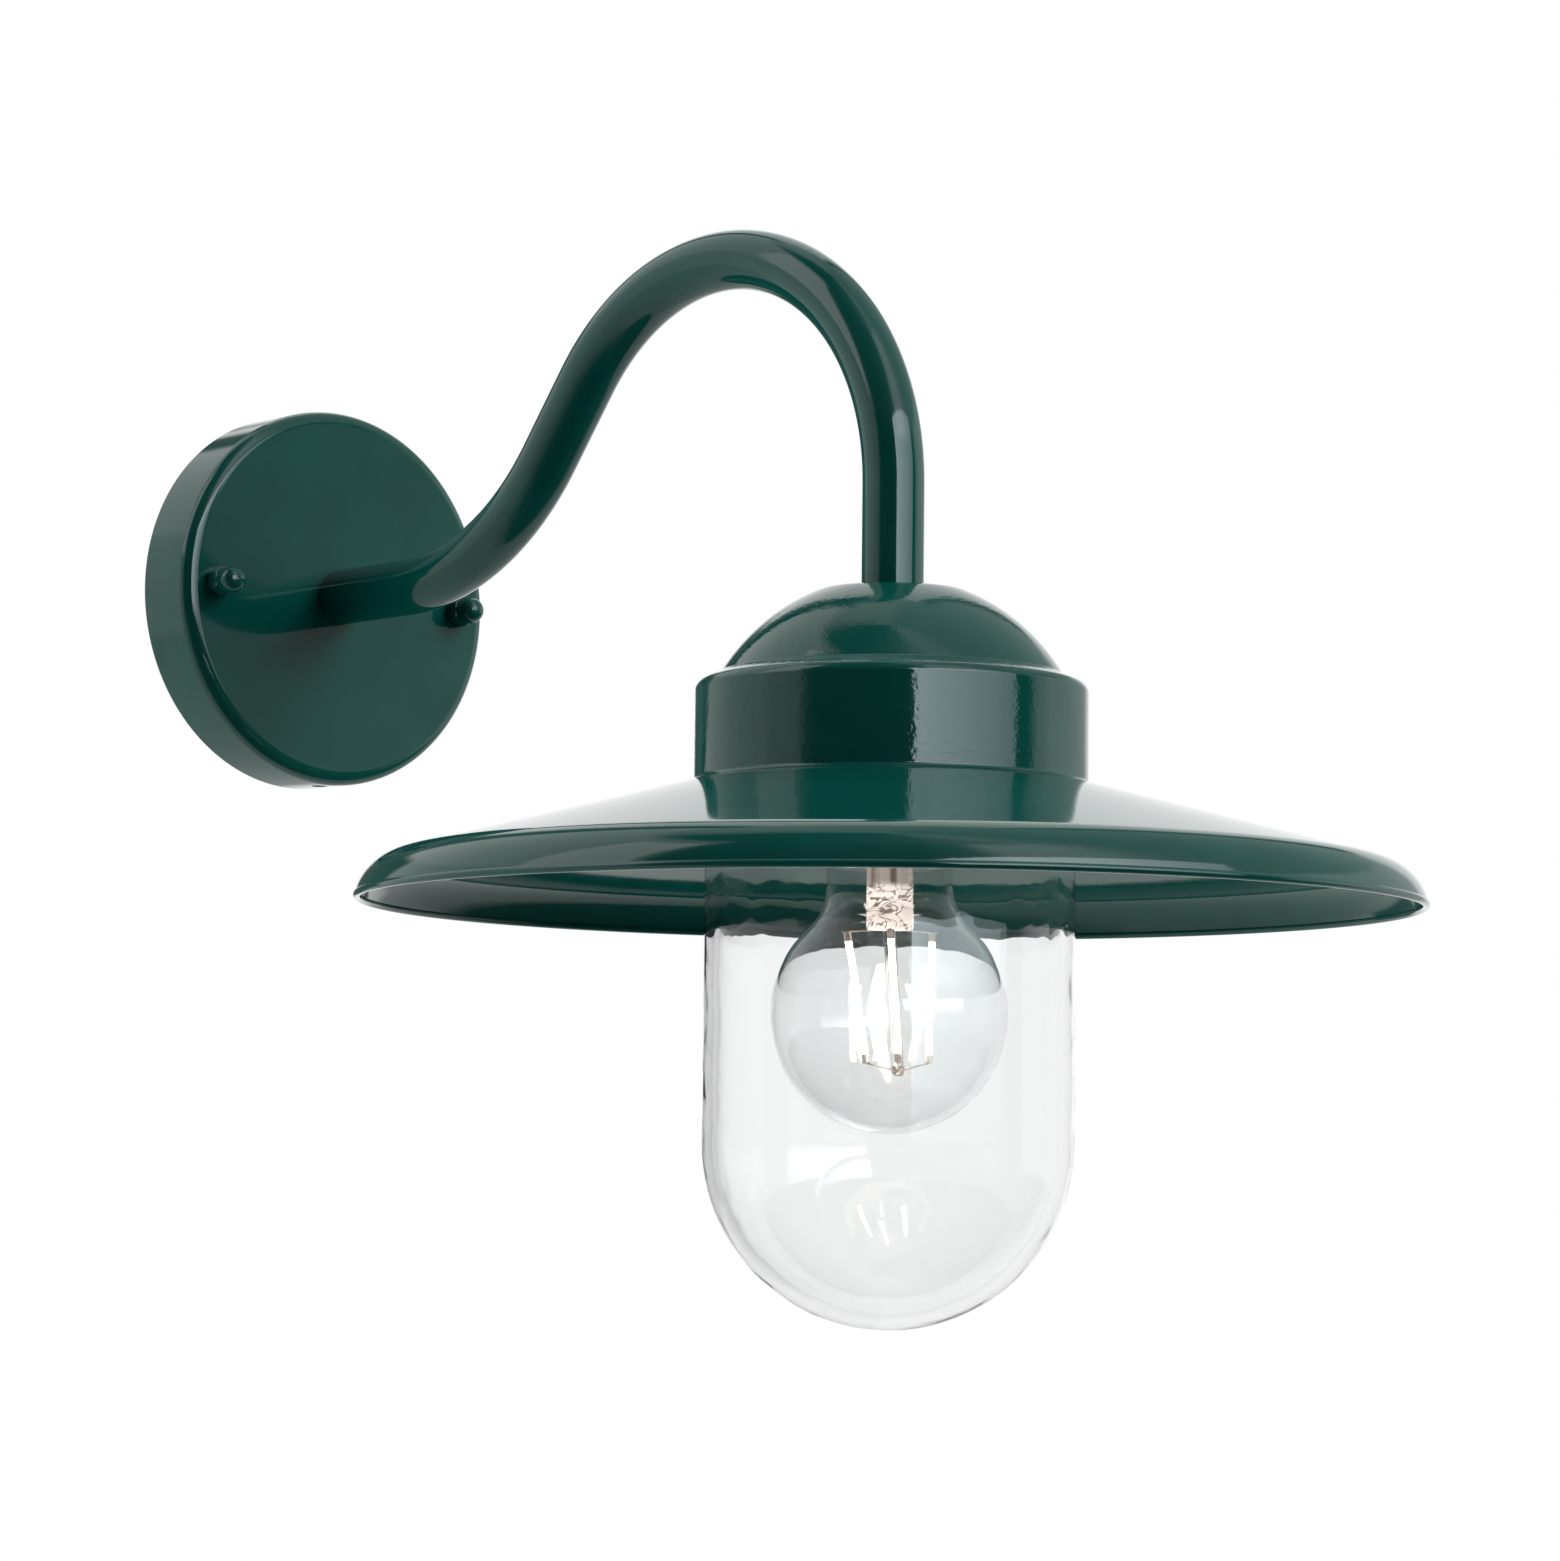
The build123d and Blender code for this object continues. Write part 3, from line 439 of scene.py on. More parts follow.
def drill(piece, start, along, radius):
    """Cut a round hole through the piece's wall."""
    bm = Tube(start, along, radius).straight(Vector(along).length).capped()
    mesh = bpy.data.meshes.new("drill")
    bm.to_mesh(mesh)
    bm.free()
    bit = bpy.data.objects.new("drill", mesh)
    bpy.context.scene.collection.objects.link(bit)
    cut = piece.modifiers.new("hole", "BOOLEAN")
    cut.operation = "DIFFERENCE"
    cut.solver = "EXACT"
    cut.object = bit
    piece.modifiers.move(piece.modifiers.find("hole"), 0)
    piece.modifiers["even_shine"].show_viewport = False
    bpy.context.view_layer.update()
    drilled = bpy.data.meshes.new_from_object(piece.evaluated_get(bpy.context.evaluated_depsgraph_get()))
    piece.modifiers.clear()
    old = piece.data
    piece.data = drilled
    bpy.data.objects.remove(bit)
    bpy.data.meshes.remove(old)
    drilled.name = piece.name
    finish_edges(piece)


class Nodes:
    """Node tree that is built up node by node."""

    def __init__(self, owner):
        owner.use_nodes = True
        self.tree = owner.node_tree

    def add(self, kind, settings=None, **inputs):
        """New node with its settings. Its inputs are set or linked, by name or as at_ and their number."""
        node = self.tree.nodes.new(kind)
        for name, value in (settings or {}).items():
            setattr(node, name, value)
        for name, value in inputs.items():
            socket = node.inputs[int(name[3:]) if name.startswith("at_") else name.replace("_", " ")]
            if isinstance(value, bpy.types.NodeSocket):
                self.tree.links.new(value, socket)
            else:
                socket.default_value = value
        return node

    def sum(self, operation, first, second=0.0):
        """Sum done on one or two values."""
        return self.add("ShaderNodeMath", {"operation": operation}, at_0=first, at_1=second).outputs["Value"]

    def between(self, value, low, high, start=0.0, end=1.0):
        """Value that eases from start to end between two limits."""
        spread = self.add(
            "ShaderNodeMapRange", {"interpolation_type": "SMOOTHSTEP"}, Value=value,
            From_Min=low, From_Max=high, To_Min=start, To_Max=end,
        )
        return spread.outputs["Result"]

    def output(self, shader):
        """Make this shader the one that shows."""
        out = next(node for node in self.tree.nodes if node.bl_idname.startswith("ShaderNodeOutput"))
        self.tree.links.new(shader, out.inputs["Surface"])


class Finish(Nodes):
    """Material whose colour, gloss and relief come from textures in the piece's own space."""

    def __init__(self, name, **values):
        self.material = bpy.data.materials.new(name)
        super().__init__(self.material)
        self.shader = self.tree.nodes["Principled BSDF"]
        self.place = self.add("ShaderNodeTexCoord").outputs["Object"]
        for socket, value in values.items():
            self.shader.inputs[socket.replace("_", " ")].default_value = value

    def grain(self, scale, detail=2.0, stretch=(1, 1, 1)):
        """Noise with so many spots a metre, which can be stretched."""
        mapped = self.add("ShaderNodeMapping", Vector=self.place, Scale=stretch).outputs["Vector"]
        return self.add("ShaderNodeTexNoise", Vector=mapped, Scale=scale, Detail=detail).outputs["Fac"]

    def colours(self, amount, dark, light, start=0.35, end=0.65, sockets=("Base Color",)):
        """Colour between two tones."""
        ramp = self.add("ShaderNodeValToRGB", Fac=amount)
        for stop, position, tone in zip(ramp.color_ramp.elements, (start, end), (dark, light)):
            stop.position = position
            stop.color = (*tone, 1)
        for socket in sockets:
            self.tree.links.new(ramp.outputs["Color"], self.shader.inputs[socket])
        return self

    def gloss(self, amount, smooth, rough):
        """Roughness between two values."""
        spread = self.add("ShaderNodeMapRange", Value=amount, To_Min=smooth, To_Max=rough)
        self.tree.links.new(spread.outputs["Result"], self.shader.inputs["Roughness"])
        return self

    def relief(self, *heights):
        """Raised texture: pairs of a texture and its height in metres."""
        normal = None
        for amount, height in heights:
            bump = self.add("ShaderNodeBump", Height=amount, Distance=height)
            if normal:
                self.tree.links.new(normal, bump.inputs["Normal"])
            normal = bump.outputs["Normal"]
        self.tree.links.new(normal, self.shader.inputs["Normal"])
        return self

    def lit_through(self, tint):
        """Let light from lamps pass through glass."""
        shadow = self.add("ShaderNodeLightPath").outputs["Is Shadow Ray"]
        clear = self.add("ShaderNodeBsdfTransparent", Color=(*tint, 1)).outputs["BSDF"]
        mix = self.add("ShaderNodeMixShader", Fac=shadow, at_1=self.shader.outputs["BSDF"], at_2=clear)
        self.output(mix.outputs["Shader"])
        return self


# Tones, as red, green and blue shares of light
GREEN_DEEP = (0.0006, 0.0340, 0.0275)
GREEN_LIT = (0.0010, 0.0400, 0.0325)
ZINC_DARK = (0.42, 0.43, 0.44)
ZINC_LIGHT = (0.62, 0.62, 0.60)
BRASS_DARK = (0.46, 0.30, 0.09)
BRASS_LIGHT = (0.68, 0.48, 0.18)
PORCELAIN_WARM = (0.80, 0.77, 0.70)
PORCELAIN_COOL = (0.86, 0.85, 0.81)
JAR_TINT = (0.986, 0.993, 0.991)
BULB_TINT = (0.966, 0.972, 0.972)
# Stem tones are painted light: brown for warm glow reflected in the stem, pale for glints
STEM_PAINTED_GLOW_BROWN = (0.16, 0.11, 0.085)
STEM_PAINTED_GLINT_PALE = (1.0, 0.90, 0.85)
RUBBER_DARK = (0.010, 0.010, 0.011)
RUBBER_GREY = (0.022, 0.022, 0.023)
CREAM_DARK = (0.72, 0.69, 0.60)
CREAM_LIGHT = (0.80, 0.78, 0.71)
NICKEL_DARK = (0.50, 0.49, 0.47)
NICKEL_LIGHT = (0.70, 0.69, 0.67)
BLACK_GLASS = (0.006, 0.006, 0.008)
BLACK_GLASS_WORN = (0.014, 0.014, 0.016)
COPPER_DARK = (0.52, 0.40, 0.33)
COPPER_LIGHT = (0.74, 0.69, 0.64)
GLOW_YELLOW = (0.90, 0.78, 0.42)
GLOW_PALE = (0.95, 0.88, 0.60)
GLOW_LIGHT = (1.0, 0.90, 0.74, 1.0)

# Streaks and creases of the stem, where its painted warm glow and painted glints go
crease_edge = (0.005, 0.045)
streak_stretch = (1, 1, 0.04)
streak_tones = (0.35, 0.65, 0.0, 0.4)


def gloss_paint(name, peel, marks):
    """Dark green gloss coat with orange peel, and the marks of turning or spinning where there are any."""
    paint = Finish(name, IOR=1.5)
    paint.colours(paint.grain(45, 3), GREEN_DEEP, GREEN_LIT)
    paint.gloss(paint.grain(160), 0.05, 0.09)
    ripple = (paint.grain(90), 0.00002)
    speck = (paint.grain(700), peel)
    turning = (paint.grain(60, 4, (0.5, 0.5, 30)), marks)
    return paint.relief(ripple, speck, turning)


def plated(name, dark, light, smooth, rough, brushed=(1, 1, 1)):
    """Plated or bare metal with faint clouding and fine scratches."""
    metal = Finish(name, Metallic=1.0)
    metal.colours(metal.grain(700, 4), dark, light)
    metal.gloss(metal.grain(260, 3, brushed), smooth, rough)
    return metal.relief((metal.grain(1500, 2, brushed), 0.000006))


def clear_glass(name, tint, wave, height):
    """Clear glass whose surface is a little uneven."""
    glass = Finish(name, Base_Color=(*tint, 1), Roughness=0.0, IOR=1.5, Transmission_Weight=1.0)
    return glass.relief((glass.grain(wave), height)).lit_through(tint)


def press_glass_painted_glow(name, wave, height):
    """Stem glass, streaked brown above, and pale and creased where it is pressed round the feed wires; the
    brown is painted warm reflection, the pale creases are painted glints, and both glow as painted light.
    """
    # The stem's colour is also emitted, a painted glow on glass that is no lamp
    glass = Finish(name, Roughness=0.1, IOR=1.6, Transmission_Weight=0.2, Emission_Strength=0.4)
    flat = glass.add("ShaderNodeMapping", Vector=glass.place, Scale=(1, 1, 2)).outputs["Vector"]
    folds = glass.add("ShaderNodeTexNoise", Vector=flat, Scale=wave, Detail=2.0, Distortion=1.2)
    folds = folds.outputs["Fac"]
    creases = glass.between(glass.sum("ABSOLUTE", glass.sum("SUBTRACT", folds, 0.5)), *crease_edge)
    streaks = glass.between(glass.grain(2 * wave, 2, streak_stretch), *streak_tones)
    level = glass.add("ShaderNodeSeparateXYZ", Vector=glass.place).outputs["Z"]
    top = stem_foot + 2 * stem_press_h
    pressed = glass.between(level, top - stem_press_h / 4, top, 1, 0)
    amount = glass.sum("MULTIPLY", pressed, glass.sum("SUBTRACT", creases, streaks))
    amount = glass.sum("ADD", streaks, amount)
    # Brown streaks are painted warm reflection and pale creases are painted glints, and both are also sent
    # out as glow
    glass.colours(amount, STEM_PAINTED_GLOW_BROWN, STEM_PAINTED_GLINT_PALE, 0, 1, ("Base Color", "Emission Color"))
    return glass.relief((folds, height)).lit_through(BULB_TINT)


def moulded(name, dark, light, smooth, rough, pore, height):
    """Moulded, glazed or rubber surface with soft clouding and fine pores."""
    surface = Finish(name)
    surface.colours(surface.grain(180, 3), dark, light)
    surface.gloss(surface.grain(420), smooth, rough)
    return surface.relief((surface.grain(pore), height))


def sleeve(name, dark, light):
    """Wire insulation."""
    return moulded(name, dark, light, 0.38, 0.5, 2500, 0.00001)


def striped_sleeve(name, green, yellow, split):
    """Earth wire insulation, green on one side and yellow on the other."""
    wire = Finish(name)
    side = wire.add("ShaderNodeSeparateXYZ", Vector=wire.place).outputs["X"]
    share = wire.add(
        "ShaderNodeMapRange", Value=side, From_Min=split - stripe_soft, From_Max=split + stripe_soft
    )
    wire.colours(share.outputs["Result"], green, yellow, 0.45, 0.55)
    wire.gloss(wire.grain(420), 0.38, 0.5)
    return wire.relief((wire.grain(2500), 0.00001))


def glowing(name):
    """Lit filament coating, a little uneven along its length."""
    coat = Finish(name, Emission_Color=GLOW_LIGHT, Emission_Strength=11.0)
    coat.colours(coat.grain(900, 3), GLOW_YELLOW, GLOW_PALE)
    coat.gloss(coat.grain(600), 0.4, 0.6)
    return coat.relief((coat.grain(2200), 0.00002))


earth_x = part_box("wall_end_nipple")[0].x / 2
stripe_soft = 0.0002
finishes = {
    "green_paint": gloss_paint("green_paint", 0.000002, 0),
    "turned_green_paint": gloss_paint("turned_green_paint", 0.000045, 0.000014),
    "spun_green_paint": gloss_paint("spun_green_paint", 0.000005, 0.000004),
    "zinc_steel": plated("zinc_steel", ZINC_DARK, ZINC_LIGHT, 0.28, 0.42),
    "brass": plated("brass", BRASS_DARK, BRASS_LIGHT, 0.22, 0.34),
    "porcelain": moulded("porcelain", PORCELAIN_WARM, PORCELAIN_COOL, 0.06, 0.14, 300, 0.00002),
    "jar_glass": clear_glass("jar_glass", JAR_TINT, 50, 0.00020),
    "bulb_glass": clear_glass("bulb_glass", BULB_TINT, 70, 0.00002),
    # Stem glass with painted glow and painted glints
    "stem_glass_painted_glow": press_glass_painted_glow("stem_glass_painted_glow", 190, 0.0008),
    "seal_rubber": moulded("seal_rubber", RUBBER_DARK, RUBBER_GREY, 0.45, 0.62, 1800, 0.00002),
    "terminal_plastic": moulded("terminal_plastic", CREAM_DARK, CREAM_LIGHT, 0.25, 0.36, 1400, 0.00001),
    "live_sleeve": sleeve("live_sleeve", (0.10, 0.035, 0.012), (0.15, 0.055, 0.02)),
    "neutral_sleeve": sleeve("neutral_sleeve", (0.006, 0.04, 0.22), (0.012, 0.06, 0.30)),
    "earth_sleeve": striped_sleeve("earth_sleeve", (0.02, 0.22, 0.03), (0.72, 0.60, 0.02), earth_x),
    "cap_metal": plated("cap_metal", NICKEL_DARK, NICKEL_LIGHT, 0.16, 0.28),
    "cap_insulator": moulded("cap_insulator", BLACK_GLASS, BLACK_GLASS_WORN, 0.05, 0.14, 500, 0.00001),
    "filament_coat": glowing("filament_coat"),
    "lead_metal": plated("lead_metal", COPPER_DARK, COPPER_LIGHT, 0.2, 0.34),
}
finishes = {name: finish.material for name, finish in finishes.items()}


def dress_frame():
    """Give every node of the frame the finish of its slot."""
    for part in frame["record"]["subparts"]:
        mesh = frame["nodes"][part["node"]].data
        mesh.materials.clear()
        mesh.materials.append(finishes[part["material_slot"]])


def swan_neck_arm():
    """Bent tube from the canopy over to the head."""
    tube = Tube((0, arm_high.y, 0), (0, -1, 0), arm_r)
    tube.straight(root_straight)
    tube.bend(root_bend_r, rise_angle, (-1, 0, 0), ROOT_BEND_STEPS)
    tube.straight(rise_straight)
    tube.bend(arch_r, 90 + rise_angle, (1, 0, 0), ARCH_STEPS)
    tube.straight(drop_straight)
    show("arm_tube", tube.walled(arm_wall), Matrix(), "fixture", "green_paint", "swan_neck_arm")


def wall_canopy():
    """Round cup on the wall with a rolled front edge and a drain hole."""
    inside = canopy_depth - canopy_wall
    inner_r = canopy_r - canopy_wall
    cup = SideLine(canopy_hole_r, inside)
    cup.to(inner_r, inside, canopy_edge_r - canopy_wall).to(inner_r, 0, canopy_wall / 4)
    cup.to(canopy_r, 0, canopy_wall / 4).to(canopy_r, canopy_depth, canopy_edge_r)
    cup.to(canopy_hole_r, canopy_depth).close()
    cup = cup.turned()
    piece = show("canopy_cup", cup, OUT_OF_WALL, "fixture", "green_paint", "wall_canopy")
    drill(piece, (0, -drain_from_wall, -canopy_r - canopy_wall), (0, 0, 4 * canopy_wall), drain_r)
    return piece


def cap_nuts():
    """Two painted cap nuts on the canopy's front."""
    nuts = []
    height = -nuts_low.y - canopy_depth
    for side in (-1, 1):
        hexagon = bmesh.new()
        bmesh.ops.create_cone(
            hexagon, cap_ends=True, segments=6, radius1=nut_af / math.sqrt(3), radius2=nut_af / math.sqrt(3),
            depth=nut_hex_h, matrix=Matrix.Translation((0, 0, nut_hex_h / 2)),
        )
        bmesh.ops.bevel(
            hexagon, geom=hexagon.edges[:], offset=nut_ease, affect="EDGES", segments=NUT_EASE_STEPS,
            profile=0.5, material=-1,
        )
        dome = SideLine(0, height).arc(0, height - nut_dome_r, -90)
        dome.to(nut_dome_r, nut_hex_h - nut_ease).to(0, nut_hex_h - nut_ease)
        seat = OUT_OF_WALL @ Matrix.Translation((side * nut_x, 0, canopy_depth))
        nuts += [(hexagon, seat), (dome.turned(SMALL_TURN_STEPS), seat)]
    show("canopy_cap_nuts", joined(*nuts), Matrix(), "fixture", "green_paint", "cap_nuts")


def lamp_head():
    """Turned head: dome, sloped shoulder and straight band, hollow inside."""
    rise = head_top - dome_base
    centre = (dome_flat_r**2 + head_top**2 - dome_base_r**2 - dome_base**2) / (2 * rise)
    outer_r = math.hypot(dome_flat_r, head_top - centre)
    inner_r = outer_r - head_wall
    ceiling = head_top - head_top_wall
    ceiling_r = math.sqrt(inner_r**2 - (ceiling - centre) ** 2)
    base_r = dome_base_r - head_wall
    base = centre + math.sqrt(inner_r**2 - base_r**2)
    wide_r = band_r - head_wall
    outer_turn = math.atan2(dome_base - centre, dome_base_r) - math.atan2(head_top - centre, dome_flat_r)
    inner_turn = math.atan2(ceiling - centre, ceiling_r) - math.atan2(base - centre, base_r)
    slope = math.radians(shade_slope)
    flare_out = foot_flare * (1 - math.sin(slope)) - shade_flat_w
    flare_top = head_foot - flare_out * math.tan(slope)
    flare_z = foot_flare * math.cos(slope)
    head = SideLine(head_hole_r, head_top)
    head.to(dome_flat_r, head_top).arc(0, centre, math.degrees(outer_turn), DOME_STEPS)
    head.corners.append((head.last, cove_ease))
    head.to(band_r, dome_base - shoulder_drop, shoulder_ease).to(band_r, flare_top + flare_z)
    head.arc(band_r + foot_flare, flare_top + flare_z, 90 - shade_slope, FLARE_STEPS)
    head.to(rim_bore_r, head_foot).to(rim_bore_r, head_foot + rim_h).to(wide_r, head_foot + rim_h)
    head.to(wide_r, dome_base - shoulder_drop - head_wall).to(base_r, dome_base - head_wall)
    head.to(base_r, base).arc(0, centre, math.degrees(inner_turn)).to(head_hole_r, ceiling).close()
    show("head_shell", head.turned(), LAMP, "fixture", "green_paint", "lamp_head", "turned_green_paint")


def shade():
    """Spun shade: flat seat, long cone, knuckle, skirt and a rolled hem."""
    slope = math.radians(shade_slope)
    skirt = math.radians(skirt_angle)
    sheet_mid = knuckle_r - sheet / 2
    centre_r = shade_r - hem_r - sheet_mid * math.sin(skirt)
    flat_r = band_r + shade_flat_w
    bend_r = centre_r + knuckle_r * math.sin(slope)
    bend_z = shade_high.z - (bend_r - flat_r) * math.tan(slope)
    centre_z = bend_z - knuckle_r * math.cos(slope)
    hem = (centre_r + sheet_mid * math.sin(skirt), centre_z + sheet_mid * math.cos(skirt))
    turns = []
    leaves = []
    for face_r in (knuckle_r, knuckle_r - sheet):
        reach = math.acos((sheet_mid**2 + face_r**2 - hem_r**2) / (2 * sheet_mid * face_r))
        side = skirt - reach
        turns.append(math.degrees(side - slope))
        across = centre_r + face_r * math.sin(side) - hem[0]
        leaves.append(math.atan2(centre_z + face_r * math.cos(side) - hem[1], across))
    hem_turn = math.degrees((leaves[1] - leaves[0]) % math.tau) - 360
    under = shade_high.z - sheet
    line = SideLine(shade_hole_r, shade_high.z)
    line.to(flat_r, shade_high.z, sheet).to(bend_r, bend_z, loops=SHADE_LOOPS)
    line.arc(centre_r, centre_z, -turns[0], KNUCKLE_STEPS).arc(*hem, hem_turn, HEM_STEPS)
    line.arc(centre_r, centre_z, turns[1], KNUCKLE_STEPS)
    line.to(flat_r - sheet * math.tan(slope / 2), under, sheet, loops=SHADE_LOOPS)
    bm = line.to(shade_hole_r, under).close().turned(SHADE_TURN_STEPS)
    show("shade_cone", bm, LAMP, "fixture", "green_paint", "shade", "spun_green_paint")


def glass_jar():
    """Pressed jar with a threaded neck, straight wall and round bottom."""
    centre = jar_low.z + jar_r
    inner_r = jar_r - jar_wall
    neck_in_r = jar_neck_r - jar_wall
    inner_shoulder = jar_shoulder - jar_wall
    thread_low = jar_shoulder + jar_lip
    thread_high = jar_high.z - jar_lip
    jar = SideLine(0, jar_low.z).arc(0, centre, 90, JAR_ARC_STEPS)
    jar.to(jar_r, jar_shoulder, jar_shoulder_r, JAR_LOOPS).to(jar_neck_r, jar_shoulder, jar_lip / 2)
    jar.to(jar_neck_r, jar_high.z, jar_lip, JAR_THREAD_LOOPS).to(neck_in_r, jar_high.z, jar_lip)
    jar.to(neck_in_r, inner_shoulder, jar_blend).to(inner_r, inner_shoulder, jar_blend)
    jar.to(inner_r, centre, loops=JAR_LOOPS).arc(0, centre, -90, JAR_ARC_STEPS)
    bm = jar.turned()
    roll_thread(bm, thread_low, thread_high, jar_pitch, jar_thread_depth, jar_neck_r - jar_lip / 2)
    show("jar", bm, LAMP, "glass", "jar_glass", "glass_jar")


def jar_seal():
    """Rubber ring between the jar's shoulder and the ring above it."""
    inner_r = seal_r - seal_w
    foot = seal_low.z + seal_lift
    seal = SideLine(inner_r, foot)
    seal.corners.append((seal.first, seal_ease))
    seal.to(seal_r, foot, seal_ease).to(seal_r, seal_high.z, seal_ease).to(inner_r, seal_high.z, seal_ease)
    show("jar_seal", seal.close().turned(), LAMP, "glass_carrier", "seal_rubber", "glass_seal")


def bulb_section(line, wall, sign):
    """Draw the bulb's side from the bottom up, or back down at a depth inside it."""
    ball_r = bulb_r - wall
    blend = bulb_neck_blend + wall
    side_r = bulb_neck_r - wall
    throat_r = bulb_throat_r - wall
    centre = bulb_low.z + bulb_r
    across = side_r + blend
    blend_z = centre + math.sqrt((ball_r + blend) ** 2 - across**2)
    lean = math.degrees(math.atan2(blend_z - centre, across))
    if sign > 0:
        line.arc(0, centre, 90 + lean, BULB_ARC_STEPS).arc(across, blend_z, -lean)
        line.to(side_r, cap_low.z - bulb_taper_h, bulb_taper_h / 3)
        line.to(throat_r, cap_low.z, bulb_taper_h / 4).to(throat_r, bulb_high.z)
    else:
        line.to(throat_r, bulb_high.z).to(throat_r, cap_low.z, bulb_taper_h / 4)
        line.to(side_r, cap_low.z - bulb_taper_h, bulb_taper_h / 3).to(side_r, blend_z)
        line.arc(across, blend_z, lean).arc(0, centre, -90 - lean, BULB_ARC_STEPS)
    return line


def bulb_glass():
    """Blown envelope with a thin wall."""
    line = SideLine(0, bulb_low.z)
    bulb_section(line, 0, 1)
    bulb_section(line, bulb_wall, -1)
    show("bulb_globe", line.turned(BULB_TURN_STEPS), LAMP, "bulb", "bulb_glass", "bulb_envelope")


def bulb_cap():
    """Screw cap rolled from thin sheet."""
    inner_r = cap_r - cap_sheet
    thread_low = cap_low.z + cap_pitch
    thread_high = cap_high.z - cap_pitch / 4
    line = SideLine(cap_r, cap_low.z).to(cap_r, cap_high.z, loops=CAP_THREAD_LOOPS)
    line.to(inner_r, cap_high.z).to(inner_r, cap_low.z, loops=CAP_THREAD_LOOPS).close()
    bm = line.turned(CAP_TURN_STEPS)
    roll_thread(bm, thread_low, thread_high, cap_pitch, cap_thread_depth, stem_r)
    show("bulb_screw_cap", bm, LAMP, "bulb", "cap_metal", "bulb_cap")


def lean_over(bm, top, foot):
    """Lean what hangs below the stem to one side, as the bulb's mount does."""
    for point in bm.verts:
        if point.co.z < top:
            point.co += polar(mount_lean, camera_azimuth, 0) * (top - point.co.z) / (top - foot)


def bulb_stem():
    """Flared glass stem, pressed flat at its foot, with a rod that ends in a bead."""
    foot = stem_foot
    bore_r = stem_r - stem_wall
    flare_foot = stem_high.z - stem_flare_h
    bead_turn = 90 + math.degrees(math.acos(stem_rod_r / stem_bead_r))
    core = SideLine(0, stem_low.z).arc(0, rod_end, bead_turn)
    core = core.to(stem_rod_r, foot).to(0, foot).turned(SMALL_TURN_STEPS)
    lean_over(core, foot, rod_end)
    show("bulb_stem_rod", core, LAMP, "bulb", "bulb_glass", "bulb_stem")
    line = SideLine(0, foot).to(stem_r, foot, stem_wall).to(stem_r, flare_foot, stem_wall, STEM_LOOPS)
    line.to(stem_flare_r, stem_high.z).to(stem_flare_r - stem_wall, stem_high.z)
    line.to(bore_r, flare_foot, stem_wall).to(bore_r, foot + stem_press_h, stem_wall, STEM_BORE_LOOPS)
    line.to(0, foot + stem_press_h)
    bm = line.turned(STEM_TURN_STEPS)
    across = polar(1, filament_turn + 90, 0)
    for point in bm.verts:
        share = min(1, max(0, (foot + 2 * stem_press_h - point.co.z) / stem_press_h))
        ease = share * share * (3 - 2 * share)
        point.co -= across * point.co.dot(across) * press_squeeze * ease
    show("bulb_press_stem", bm, LAMP, "bulb", "bulb_glass", "bulb_stem", "stem_glass_painted_glow")


def bulb_filaments():
    """Ring of glowing filaments with metal tabs, hung from the stem and tied to its bead."""
    foot = stem_foot
    glow = []
    wires = []
    for number in range(filament_count):
        angle = filament_turn + number * 360 / filament_count
        top = polar(filament_top_r, angle, filaments_high.z - filament_tab)
        base = polar(filament_foot_r, angle, filaments_low.z + filament_tab)
        along = (top - base).normalized()
        glow.append((eased_rod(base, top, filament_r, filament_r / 3), Matrix()))
        for end, way in ((top, along), (base, -along)):
            wires.append((eased_rod(end - way * lead_r, end + way * filament_tab, tab_r, lead_r), Matrix()))
        hook = polar(stem_r * press_reach, angle, foot)
        wires.append((eased_rod(hook, top + along * filament_tab, lead_r, lead_r / 2), Matrix()))
        stub = top + along * filament_tab
        wires.append((eased_rod(stub, stub + polar(lead_overhang, angle, 0), lead_r, lead_r / 2), Matrix()))
        tie = base - along * filament_tab
        wires.append((eased_rod(tie, polar(stem_bead_r, angle, rod_end), lead_r, lead_r / 2), Matrix()))
    for side in (-1, 1):
        feed = [polar(side * feed_wire_x, filament_turn, level) for level in (stem_high.z, foot + lead_r)]
        wires.append((eased_rod(*feed, lead_r, lead_r / 2), Matrix()))
    for name, parts, slot, node in (
        ("bulb_glow_rods", glow, "filament_coat", "bulb_filaments"),
        ("bulb_lead_wires", wires, "lead_metal", "bulb_leads"),
    ):
        bm = joined(*parts)
        lean_over(bm, foot, rod_end)
        show(name, bm, LAMP, "bulb", slot, node)


